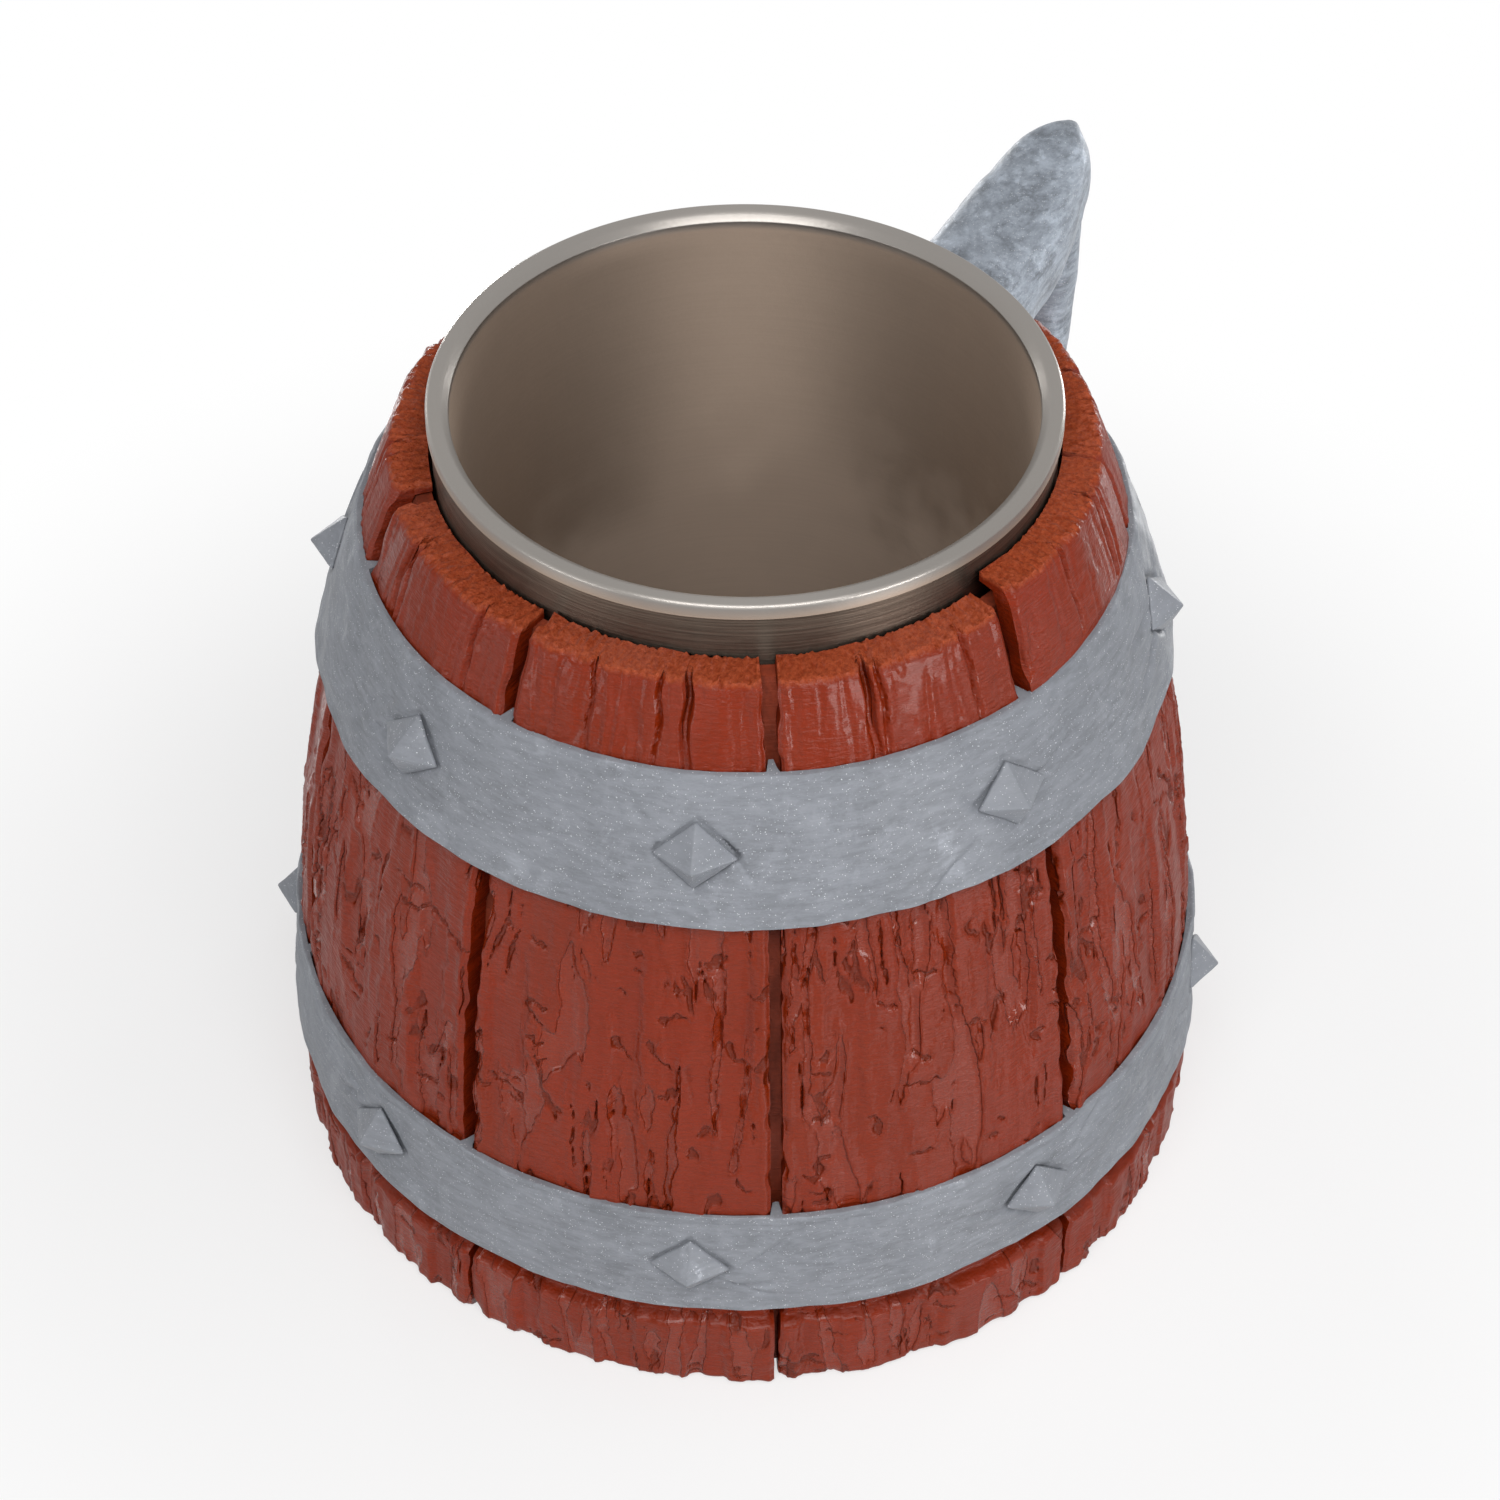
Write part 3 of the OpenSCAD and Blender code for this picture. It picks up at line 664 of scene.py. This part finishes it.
def stave_finish(finishes):
    """Rust brown with a level grain that spreads light up and down, smoother in flakes and cracks, with
    painted shade darkening the cracks.
    """
    finish = Finish("hewn_brown", Specular_IOR_Level=0.2, Anisotropic=1.0, Anisotropic_Rotation=0.25,
                    Coat_Roughness=0.1, Coat_IOR=1.5)
    end = finish.attribute("end")
    flake, crack = finish.attribute("flake"), finish.attribute("crack")
    flaked = finish.between(flake, 0.53, 0.6)
    rim = finish.between(flake, 0.36, 0.5) * (1 - flaked)
    line = finish.between(crack, 0.55, 0.85)
    mottle = finish.patchy(0.3, 0.7, finish.stretched(1, 1, 0.3), 160, 4, 0.6)
    streak = finish.patchy(0.35, 0.7, finish.stretched(1, 1, 0.06), 900, 3, 0.6)
    layers = finish.grain(finish.stretched(0.16, 0.16, 1), 1.0 / finishes.layer, 2.0, 0.6)
    level = finish.between(layers, 0.35, 0.65)
    scales = finish.grain(finish.stretched(0.35, 0.35, 1), 1500, 2.0, 0.6)
    cloud = finish.patchy(0.35, 0.7, finish.stretched(1, 1, 0.4), 60, 4, 0.6)
    brown = finish.mix(0.55 * cloud, finishes.stave, finishes.stave_cloud)
    worn = finish.mix(0.6 * mottle, brown, finishes.stave_worn)
    lined = finish.mix(0.4 * level, worn, finishes.stave_line)
    deep = finish.mix(flaked * (0.5 + 0.5 * streak), lined, finishes.recess)
    # Painted shade: the fine cracks are darkened towards the crack colour
    crack_shaded = finish.mix(0.45 * line, deep, finishes.crack)
    dust = finish.patchy(0.35, 0.65, finish.place(), 1500, 4, 0.7)
    ends = finish.mix(0.8 * dust, finishes.end, finishes.end_dust)
    grit = finish.grain(finish.place(), 1700, 2, 0.6)
    finish.set(
        Base_Color=finish.mix(end, crack_shaded, ends),
        Roughness=finish.between(flaked, 0.0, 1.0, 0.38, 0.28) + 0.15 * end + 0.12 * (level - 0.5),
        Coat_Weight=finishes.gloss * (0.4 + 0.6 * flaked) * (1 - end) * (1 - line),
    )
    raised = 1.6 * layers + 1.8 * scales + 0.3 * streak + (0.6 + 2.0 * end) * grit + rim
    finish.bump(raised - 1.5 * flaked - 2.5 * line, FINE_BUMP)
    return finish


class TANKARD_OT_core(bpy.types.Operator):
    """Finish the core that shows between the staves, its brown painted lighter as painted light in the
    shaded gaps
    """
    bl_idname = "tankard.core"
    bl_label = "Core"

    def execute(self, context):
        finishes = context.scene.tankard_finishes
        finish = Finish("core_brown", Specular_IOR_Level=0.3)
        mottle = finish.patchy(0.3, 0.7, finish.stretched(1, 1, 0.3), 240, 4, 0.6)
        layers = finish.grain(finish.stretched(0.04, 0.04, 1), 1.0 / finishes.layer, 1.0)
        # Painted light: the core's lighter brown brightens the shaded gaps between the staves
        finish.set(Base_Color=finish.mix(mottle, finishes.core, finishes.core_mottle),
                   Roughness=0.5 + 0.2 * mottle)
        finish.bump(layers + 0.6 * finish.grain(finish.place(), 900, 3, 0.6), FINE_BUMP)
        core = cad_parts["barrel_core"]
        core.data.materials.clear()
        core.data.materials.append(finish.material)
        return {"FINISHED"}


# Hoops, studs and handle

def grey_finish(finishes, name, base, dull, worn, blotch=75, spread_up=0.95):
    """Silver grey with fine flecks, soft patches, pale smears and level lines.

    Dull and worn are the shares of the base colour in the darker patches and the pale smears.
    """
    finish = Finish(name, Specular_IOR_Level=0.25, Anisotropic=spread_up, Anisotropic_Rotation=0.25)
    patches = finish.patchy(0.35, 0.68, finish.place(), blotch, 5, 0.62, 0.4)
    flecks = finish.node("TexVoronoi", {"feature": "F1"}, {"Vector": finish.place(), "Scale": 3400.0})
    pick = finish.patchy(0.54, 0.62, finish.place(), 2100, 1, 0.5)
    fleck = pick * finish.between(flecks, 0.32, 0.1)
    smear = finish.patchy(0.42, 0.68, finish.stretched(1, 1, 3), 1.3 * blotch, 5, 0.68, 0.6)
    tone = finish.mix(patches, tuple(dull * c for c in base), base)
    fine = finish.patchy(0.3, 0.7, finish.stretched(0.25, 0.25, 1), 1100, 4, 0.75)
    polish = finish.patchy(0.55, 0.62, finish.stretched(1, 1, 0.5), 2.2 * blotch, 5, 0.7, 0.5)
    pale = tuple(min(1.0, worn * c) for c in base)
    lighter = finish.mix(0.2 * smear + 0.45 * fine + 0.2 * polish, tone, pale)
    finish.set(Base_Color=finish.mix(0.7 * fleck, lighter, finishes.sparkle),
               Metallic=0.02 + 0.2 * polish,
               Roughness=0.42 + 0.1 * patches - 0.08 * polish)
    layers = finish.grain(finish.stretched(0.05, 0.05, 1), 1.0 / finishes.layer, 1.0)
    grit = finish.grain(finish.place(), 1300, 2, 0.6)
    finish.bump(0.5 * layers + 0.5 * grit + 0.6 * smear, 0.8 * FINE_BUMP)
    return finish


def hoop_radius(sizes, surface, z, low, high):
    """Outer radius of a hoop from low to high, at height z in millimetres."""
    rise = (z - low) / (high - low)
    return belly(sizes, z) + mm(surface.thick_low) * (1 - rise) + mm(surface.thick_high) * rise


class TANKARD_OT_hoops(bpy.types.Operator):
    """Beat the two hoops, with dents, creases and pockets for the studs"""
    bl_idname = "tankard.hoops"
    bl_label = "Hoops"

    around = 960
    rows = 46
    back_rows = 8
    creases_per_stud = 3
    sharp_angle = math.radians(35)
    # Points of a rounded edge, in shares of the bevel inward and down, and their share of the relief
    edge_steps = ((0.15, 0.45), (0.5, 0.1), (1.0, 0.0))
    edge_relief = (0.9, 0.7, 0.4)
    # Millimetres: gap behind, tongue into the staves' gaps, line along the top and pocket of a stud
    back_gap = 0.12
    tongue_depth = 2.4
    line_depth = 0.18
    pocket_depth = 0.45

    def execute(self, context):
        finishes = context.scene.tankard_finishes
        finish = grey_finish(finishes, "hoop_silver", tuple(finishes.hoop), dull=0.8, worn=1.5)
        for name, box, seed in (("upper", UPPER_HOOP, 500), ("lower", LOWER_HOOP, 600)):
            points, faces = self.shape(context, mm(box[0].z), mm(box[1].z), seed)
            piece = add_piece(context, f"beaten_{name}_hoop", points, faces, self.sharp_angle)
            dress(piece, "barrel", [f"{name}_hoop"], finish)
        return {"FINISHED"}

    def shape(self, context, low, high, seed):
        """Points and faces of a hoop between two heights."""
        sizes, surface = context.scene.tankard_barrel, context.scene.tankard_hoops
        bevel = mm(surface.bevel)
        face_z = np.linspace(low + bevel, high - bevel, self.rows)
        face_r = hoop_radius(sizes, surface, face_z, low, high)
        back_z = np.linspace(high, low, self.back_rows)
        back_r = belly(sizes, back_z) + self.back_gap
        steps = bevel * np.array(self.edge_steps)
        top_rim = [hoop_radius(sizes, surface, high, low, high), high] - steps
        bottom_rim = [hoop_radius(sizes, surface, low, low, high), low] - steps * [1, -1]
        profile = np.concatenate([np.stack([face_r, face_z], 1), top_rim,
                                  np.stack([back_r, back_z], 1), bottom_rim[::-1]])
        points, ids = revolve(profile, self.around)
        out = np.tile([*np.ones(self.rows), *self.edge_relief, *np.zeros(self.back_rows),
                       *self.edge_relief[::-1]], self.around)
        turn = np.repeat(np.arange(self.around) * 2 * np.pi / self.around, len(profile))
        z = points[:, 2]
        mid = (low + high) / 2
        radius = np.hypot(points[:, 0], points[:, 1])
        round_it = turn * hoop_radius(sizes, surface, mid, low, high)
        relief = mm(surface.dent_depth) * (ripple(round_it / 13, z / 8, seed)
                                           + 0.35 * ripple(round_it / 4.6, z / 3.6, seed + 1) - 0.4)
        relief = relief + self.stud_marks(surface, turn, round_it, z, mid, seed)
        edge = np.abs((z - mid) / (high - mid)) ** 5 * np.sign(z - mid)
        wave = mm(surface.edge_wave) * (ripple(round_it / 17, z * 0 + 1, seed + 2)
                                        + 0.4 * ripple(round_it / 3.8, z * 0 + 2, seed + 3) - 0.5)
        stave_pitch = 2 * np.pi / STAVES
        from_gap = (turn - sizes.stave_turn) % stave_pitch - stave_pitch / 2
        tongue = 1 - step(np.abs(from_gap) * radius, 0.45, 0.8)
        rim_line = np.exp(-((high - z - mm(surface.rim)) / 0.28) ** 2)
        sunk = (np.minimum(relief, 0) - self.line_depth * rim_line) * out
        new_radius = radius + sunk - self.tongue_depth * tongue * (out == 0)
        points = np.stack([new_radius * np.cos(turn), new_radius * np.sin(turn), z + wave * edge], axis=1)
        return points, quads(ids, True, True).tolist()

    def stud_marks(self, surface, turn, round_it, z, mid, seed):
        """Pockets round the studs and creases that run away from them."""
        relief = np.zeros_like(z)
        draw = np.random.default_rng(seed)
        pitch = (2 * np.pi - 2 * surface.stud_turn) / (STUDS - 1)
        scale = round_it.max() / turn.max()
        for index in range(STUDS):
            offset = (turn - surface.stud_turn - index * pitch + np.pi) % (2 * np.pi) - np.pi
            across, up = offset * scale, z - mid
            diamond = np.abs(across) / mm(surface.stud_width) * 2 + np.abs(up) / mm(surface.stud_tall) * 2
            relief -= self.pocket_depth * (1 - step(diamond, 1.03, 1.2))
            for _ in range(self.creases_per_stud):
                start = np.array([draw.choice([-1, 1]) * draw.uniform(3.5, 8), draw.uniform(-5, 4)])
                heading = draw.uniform(-0.9, 0.9)
                run = draw.uniform(5, 13)
                way = np.array([np.sign(start[0]) * math.cos(heading), math.sin(heading)])
                along = (across - start[0]) * way[0] + (up - start[1]) * way[1]
                aside = -(across - start[0]) * way[1] + (up - start[1]) * way[0]
                aside = aside + 0.08 * along * np.sin(along / 4)
                fade = step(along, -1.5, 1.5) * (1 - step(along, run - 4, run))
                relief += fade * mm(surface.crease_depth) * (-np.exp(-(aside / 0.55) ** 2)
                                                             + 0.55 * np.exp(-((aside - 1.2) / 0.8) ** 2))
        return relief


class TANKARD_OT_studs(bpy.types.Operator):
    """Wear the edges of the pyramid studs"""
    bl_idname = "tankard.studs"
    bl_label = "Studs"

    wear_seed = 11
    wear_scale = 420
    wear_depth = 0.12 * MM
    sharp_angle = math.radians(25)

    def execute(self, context):
        noise.seed_set(self.wear_seed)
        finishes, surface = context.scene.tankard_finishes, context.scene.tankard_hoops
        base = tuple(1.1 * c for c in finishes.hoop)
        finish = grey_finish(finishes, "stud_silver", base, dull=0.85, worn=1.2, spread_up=0.0)
        for name in ("upper_studs", "lower_studs"):
            mesh = bpy.data.meshes.new(f"worn_{name}")
            self.wear(mesh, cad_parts[name].data, surface.stud_bevel)
            smooth(mesh)
            mesh.set_sharp_from_angle(angle=self.sharp_angle)
            dress(add_object(context, mesh.name, mesh), "barrel", [name], finish)
        return {"FINISHED"}

    def wear(self, mesh, plain, bevel):
        """Fill a mesh with the plain studs, their edges bevelled and their faces a little uneven."""
        shape = bmesh.new()
        shape.from_mesh(plain)
        bmesh.ops.remove_doubles(shape, verts=shape.verts, dist=1e-6)
        bmesh.ops.dissolve_limit(shape, angle_limit=math.radians(2), verts=shape.verts, edges=shape.edges)
        bmesh.ops.bevel(shape, geom=shape.edges[:], offset=bevel, segments=2, profile=0.5, affect="EDGES")
        bmesh.ops.triangulate(shape, faces=[f for f in shape.faces if len(f.verts) > 4])
        bmesh.ops.subdivide_edges(shape, edges=shape.edges[:], cuts=3, use_grid_fill=True)
        for vert in shape.verts:
            vert.co += self.wear_depth * noise.noise_vector(vert.co * self.wear_scale)
        shape.to_mesh(mesh)
        shape.free()


class TANKARD_OT_handle(bpy.types.Operator):
    """Hammer the handle with its thumb spur"""
    bl_idname = "tankard.handle"
    bl_label = "Handle"

    # Hammer marks and smaller chips, per metre, and the chips' shift against the marks
    mark_scale = 110
    chip_scale = 260
    chip_shift = Vector((3, 1, 2))
    # Shares of the marks' depth: where high spots are cut flat, and how far all of it is sunk
    flat = 0.25
    sunk = 0.35

    def execute(self, context):
        finishes, surface = context.scene.tankard_finishes, context.scene.tankard_hoops
        piece = add_object(context, "forged_handle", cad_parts["handle"].data.copy())
        skin = piece.modifiers.new("Even skin", "REMESH")
        skin.mode = "VOXEL"
        skin.voxel_size = surface.skin
        soften = piece.modifiers.new("Forged edges", "SMOOTH")
        soften.factor = 0.5
        soften.iterations = 6
        context.view_layer.update()
        mesh = bpy.data.meshes.new_from_object(piece.evaluated_get(context.evaluated_depsgraph_get()))
        piece.modifiers.clear()
        piece.data = mesh
        mesh.name = "forged_handle"
        for vert, normal in zip(mesh.vertices, [v.normal.copy() for v in mesh.vertices]):
            blow = noise.noise(vert.co * self.mark_scale)
            blow += 0.5 * noise.noise(vert.co * self.chip_scale + self.chip_shift)
            vert.co += normal * surface.hammer_depth * (min(blow, self.flat) - self.sunk)
        smooth(mesh)
        finish = grey_finish(finishes, "handle_silver", tuple(finishes.handle), dull=0.6, worn=2.4,
                             blotch=150, spread_up=0.0)
        dress(piece, "barrel", ["handle"], finish)
        return {"FINISHED"}


# Steel cup

def arc(x, y, radius, start, end, count=14):
    """Points of an arc, angles in degrees."""
    turn = np.radians(np.linspace(start, end, count))
    return np.stack([x + radius * np.cos(turn), y + radius * np.sin(turn)], axis=1)


def steel_finish(finishes, name, rough, brush, painted_brightness, turned, matt_floor_painted_light=False):
    """Warm steel with level brush lines and faint clouds, and a smoother lip, its colour scaled by a painted
    brightness.

    Turned is the spread of light across the brush lines; with a matt floor, the lower wall is duller and
    painted lighter, a painted pool of light low in the cup.
    """
    finish = Finish(name, Metallic=1.0, Anisotropic=turned, Anisotropic_Rotation=0.25)
    lip = finish.attribute("lip")
    lines = finish.grain(finish.stretched(0.02, 0.02, 1), 2600, 3, 0.7)
    clouds = finish.patchy(0.3, 0.7, finish.place(), 45, 3, 0.6)
    specks = finish.grain(finish.place(), 1500, 2, 0.7)
    # Painted light and shade: the steel's colour is scaled by the painted brightness of each piece
    base = tuple(painted_brightness * c for c in finishes.steel)
    worn = finish.between(lines, 0.35, 0.65, 0.0, min(1.0, 0.4 * brush))
    wall = finish.mix(0.2 * clouds + 0.8 * worn, base, tuple(0.6 * c for c in base))
    finish.set(Base_Color=finish.mix(lip, wall, finishes.lip),
               Roughness=(rough + 0.04 * (clouds - 0.5) + 0.12 * (specks - 0.5)) * (1 - 0.4 * lip))
    finish.bump(brush * lines + 0.5 * specks, 0.3 * FINE_BUMP)
    if not matt_floor_painted_light:
        return finish
    # Lower wall: rougher steel, painted lighter with a pale tint as a painted pool of light
    height = finish.node("SeparateXYZ", {}, {0: finish.place()}, output=2)
    low = finish.between(height + 0.02 * (clouds - 0.5), 0.07, 0.1, 0.9, 0.0)
    blasted_and_painted_light = finish.node("BsdfPrincipled", {}, {"Base Color": finish.mix(0.15, wall, finishes.blasted_and_painted_light),
                                                 "Metallic": 1.0, "Roughness": 0.9})
    finish.blend("Material Output", low, finish.surface, blasted_and_painted_light)
    return finish


class TANKARD_OT_cup(bpy.types.Operator):
    """Spin the double-wall steel cup"""
    bl_idname = "tankard.cup"
    bl_label = "Steel cup"

    around = 256
    sharp_angle = math.radians(35)
    # Millimetres: radii of the lip's outer crest, inner edge and slope, and depths below its top
    lip_crest = 0.55
    lip_edge = 0.3
    lip_slope = 1.6
    lip_drop = 0.1
    lip_shine = 1.2
    # Millimetres: widths of the base cap's rim and slope, and width and height of their eased corners
    cap_rim = 8
    cap_slope = 4
    ease_wide = 1
    ease_high = 0.15

    def execute(self, context):
        sizes, finishes = context.scene.tankard_cup, context.scene.tankard_finishes
        # Painted light and shade: the same steel is painted brighter inside the cup and darker on the collar
        # and base
        satin = steel_finish(finishes, "satin_steel", rough=0.6, brush=0.25, painted_brightness=1.08, turned=0.78,
                             matt_floor_painted_light=True)
        brushed = steel_finish(finishes, "brushed_steel", rough=0.38, brush=2.5, painted_brightness=0.45, turned=0.85)
        for name, node, profile, finish in (
                ("cup_inside", "cup_inner_wall", self.inside(sizes), satin),
                ("cup_collar", "cup_outer_wall", self.outside(sizes), brushed),
                ("cup_base", "cup_base_cap", self.cap(sizes), brushed)):
            points, ids = revolve(profile, self.around)
            faces = quads(ids, True, name == "cup_collar")[:, ::-1].tolist()
            if name != "cup_collar":
                faces += [ids[:, 0].tolist(), ids[:, -1].tolist()[::-1]]
            lip = step(points[:, 2] - mm(CUP_INNER[1].z), -mm(sizes.lip_height), -self.lip_shine)
            piece = add_piece(context, name, points, faces, self.sharp_angle, {"lip": lip})
            dress(piece, "steel_cup", [node], finish)
        return {"FINISHED"}

    def inside(self, sizes):
        """Half section of the inner wall from the middle of its floor over the lip and back."""
        top, lip_r = mm(CUP_INNER[1].z), mm(CUP_INNER[1].x)
        floor = mm(CUP_INNER[0].z) + mm(sizes.steel)
        crown, width = mm(sizes.lip_crown), mm(sizes.lip_width)
        under = top - mm(sizes.lip_height)
        wall_r = mm(sizes.foot_radius) - 2 * mm(sizes.steel) - mm(sizes.wall_space)
        corner_r = wall_r - mm(sizes.floor_round)
        corner_z = floor + mm(sizes.floor_round)
        steel = mm(sizes.steel)
        crest, edge, slope = self.lip_crest, self.lip_edge, self.lip_slope
        lip = np.concatenate([
            arc(lip_r - width + edge, top - crown - self.lip_drop, edge, 180, 130, 6),
            arc(lip_r - 0.45 * width, top - slope - self.lip_drop, slope, 126, 96, 8),
            arc(lip_r - crest, top - crest, crest, 92, 0, 10)])
        bend = mm(sizes.floor_round)
        inner = np.concatenate([[[AXIS_FLAT, floor]], arc(corner_r, corner_z, bend, -90, 0)])
        outer = np.concatenate([arc(corner_r, corner_z, bend + steel, 0, -90), [[AXIS_FLAT, floor - steel]]])
        mouth = lip_r - width
        wall = np.linspace(inner[-1], [mouth, under], 12)[1:]
        back = np.linspace([mouth + steel, under], outer[0], 12)[:-1]
        return np.concatenate([inner, wall, lip, [[lip_r, under + 0.2], [lip_r - 0.2, under]], back, outer])

    def outside(self, sizes):
        """Closed half section of the outer wall with its collar and turned-in edge."""
        top, collar_r = mm(CUP_OUTER[1].z), mm(CUP_OUTER[1].x)
        base, steel = mm(CUP_OUTER[0].z), mm(sizes.steel)
        bend_z = top - mm(sizes.collar_length)
        corner_r = mm(sizes.foot_radius) - mm(sizes.foot_round)
        corner_z = base + mm(sizes.foot_round)
        edge_r = corner_r - mm(sizes.turned_edge)
        return np.concatenate([
            [[edge_r, base]], arc(corner_r, corner_z, mm(sizes.foot_round), -90, 0),
            np.linspace([collar_r, bend_z], [collar_r, top], 6),
            np.linspace([collar_r - steel, top], [collar_r - steel, bend_z], 6),
            arc(corner_r, corner_z, mm(sizes.foot_round) - steel, 0, -90), [[edge_r, base + steel]]])[::-1]

    def cap(self, sizes):
        """Half section of the base cap, dished up in the middle."""
        low, high = mm(CUP_CAP[0].z), mm(CUP_CAP[1].z)
        outer, steel = mm(CUP_CAP[1].x), mm(sizes.steel)
        rim = outer - self.cap_rim
        dish = rim - self.cap_slope
        over = np.array([[outer, low + steel], [rim + self.ease_wide, low + steel],
                         [rim, low + steel + self.ease_high], [dish, high - self.ease_high],
                         [dish - self.ease_wide, high], [AXIS_FLAT, high]])
        under = over[::-1] - [0, steel]
        return np.concatenate([under, over])[::-1]


# Stage

class Lamp(NamedTuple):
    """A soft lamp, placed as seen from the camera; one that doesn't shine shows in no reflection."""
    name: str
    place: tuple
    size: tuple
    power: str
    part: float = 1.0
    shines: bool = True


LAMPS = (
    Lamp("key_lamp", (0.45, 0.0, 0.95), (0.7, 0.7), "key_power", shines=False),
    Lamp("fill_lamp", (-0.8, -0.4, 0.3), (0.7, 0.5), "fill_power", shines=False),
    Lamp("left_strip", (-0.32, 0.79, 0.05), (0.12, 0.09), "side_power", 0.45),
    Lamp("right_strip", (0.55, 0.65, 0.05), (0.12, 0.09), "side_power", 0.3),
    Lamp("left_front", (-0.83, -0.56, 0.12), (0.45, 0.16), "front_power", 0.4),
    Lamp("right_front", (0.69, -0.72, 0.12), (0.45, 0.16), "front_power"),
    Lamp("left_rim", (-0.66, 0.7, 0.3), (0.12, 0.1), "side_power", 0.06),
    Lamp("right_rim", (0.66, 0.7, 0.3), (0.12, 0.1), "side_power", 0.06),
    Lamp("top_front", (0.0, -0.6, 0.95), (0.85, 0.4), "top_power"),
)


class TANKARD_OT_stage(bpy.types.Operator):
    """Set up the pale floor, the soft lamps and the camera"""
    bl_idname = "tankard.stage"
    bl_label = "Stage"

    floor_half = 4.0
    # Distance from the middle over which the floor turns white, in metres, and its share of white within
    white_from = 0.1
    white_to = 0.2
    white_near = 0.62

    def execute(self, context):
        sizes, finishes = context.scene.tankard_stage, context.scene.tankard_finishes
        context.scene.view_settings.view_transform = "Standard"
        self.floor(context, finishes)
        self.world(context, sizes)
        for lamp in LAMPS:
            self.light(context, sizes, lamp)
        self.camera(context, sizes)
        return {"FINISHED"}

    def spot(self, sizes, right, back, up):
        """A place given as seen from the camera: to the right, to the back and up, in metres."""
        s, c = math.sin(sizes.azimuth), math.cos(sizes.azimuth)
        return Vector((right * c - back * s, right * s + back * c, up))

    def aim(self, sizes, made):
        """Turn a lamp or the camera to the tankard's middle."""
        way = Vector((0, 0, sizes.middle)) - made.location
        made.rotation_euler = way.to_track_quat("-Z", "Y").to_euler()

    def floor(self, context, finishes):
        """Lay a pale floor that keeps the shadow near the tankard and is plain white farther away."""
        half, low = self.floor_half, CAD_BOX[0].z
        corners = [(-half, -half, low), (half, -half, low), (half, half, low), (-half, half, low)]
        mesh = bpy.data.meshes.new("pale_floor")
        mesh.from_pydata(corners, [], [(0, 1, 2, 3)])
        finish = Finish("floor_white", Base_Color=finishes.floor, Roughness=0.9, Specular_IOR_Level=0.1)
        white = finish.node("Emission", {}, {"Color": WHITE, "Strength": 1.0})
        away = finish.node("VectorMath", {"operation": "LENGTH"}, {0: finish.place()}, output="Value")
        whiter = finish.between(away, self.white_from, self.white_to, self.white_near, 1.0)
        finish.blend("Material Output", finish.seen() * whiter, finish.surface, white)
        mesh.materials.append(finish.material)
        add_object(context, "pale_floor", mesh)

    def world(self, context, sizes):
        """Light evenly from all round, and show plain white to the camera and in reflections."""
        world = bpy.data.worlds.new("pale_room")
        world.use_nodes = True
        world.node_tree.nodes.remove(world.node_tree.nodes["Background"])
        room = Nodes(world.node_tree)
        light = room.node("Background", {}, {"Color": WHITE, "Strength": sizes.world})
        white = room.node("Background", {}, {"Color": WHITE, "Strength": 1.0})
        room.blend("World Output", room.seen(), light, white)
        context.scene.world = world

    def light(self, context, sizes, lamp):
        """Add a lamp that faces the tankard and that the camera doesn't see."""
        data = bpy.data.lights.new(lamp.name, "AREA")
        data.shape = "RECTANGLE"
        data.size, data.size_y = lamp.size
        data.energy = lamp.part * getattr(sizes, lamp.power)
        made = add_object(context, lamp.name, data)
        made.location = self.spot(sizes, *lamp.place)
        made.visible_glossy = lamp.shines
        made.visible_camera = False
        self.aim(sizes, made)

    def camera(self, context, sizes):
        data = bpy.data.cameras.new("photo_camera")
        data.sensor_width = 36.0
        data.lens = sizes.lens
        data.shift_x = sizes.shift
        data.clip_start = 0.01
        camera = add_object(context, "photo_camera", data)
        level = sizes.distance * math.cos(sizes.elevation)
        up = sizes.middle + sizes.distance * math.sin(sizes.elevation)
        camera.location = self.spot(sizes, 0, -level, up)
        self.aim(sizes, camera)
        context.scene.camera = camera


class TANKARD_PT_panel(bpy.types.Panel):
    """Steps that dress the tankard"""
    bl_idname = "TANKARD_PT_panel"
    bl_label = "Tankard"
    bl_space_type = "VIEW_3D"
    bl_region_type = "UI"
    bl_category = "Tankard"

    def draw(self, context):
        for operator in OPERATORS:
            self.layout.operator(operator.bl_idname)


GROUPS = {
    "tankard_barrel": BarrelSizes,
    "tankard_hewn": HewnSurface,
    "tankard_hoops": HoopSurface,
    "tankard_cup": CupSizes,
    "tankard_finishes": Finishes,
    "tankard_stage": StageSizes,
}
OPERATORS = (TANKARD_OT_stage, TANKARD_OT_core, TANKARD_OT_staves, TANKARD_OT_hoops, TANKARD_OT_studs,
             TANKARD_OT_handle, TANKARD_OT_cup)


def register():
    for kind in (*GROUPS.values(), *OPERATORS, TANKARD_PT_panel):
        bpy.utils.register_class(kind)
    for name, group in GROUPS.items():
        setattr(bpy.types.Scene, name, PointerProperty(type=group))


def unregister():
    for name in GROUPS:
        delattr(bpy.types.Scene, name)
    for kind in reversed((*GROUPS.values(), *OPERATORS, TANKARD_PT_panel)):
        bpy.utils.unregister_class(kind)


def main():
    register()
    for step_name in ("stage", "core", "staves", "hoops", "studs", "handle", "cup"):
        getattr(bpy.ops.tankard, step_name)()


if __name__ == "__main__":
    main()
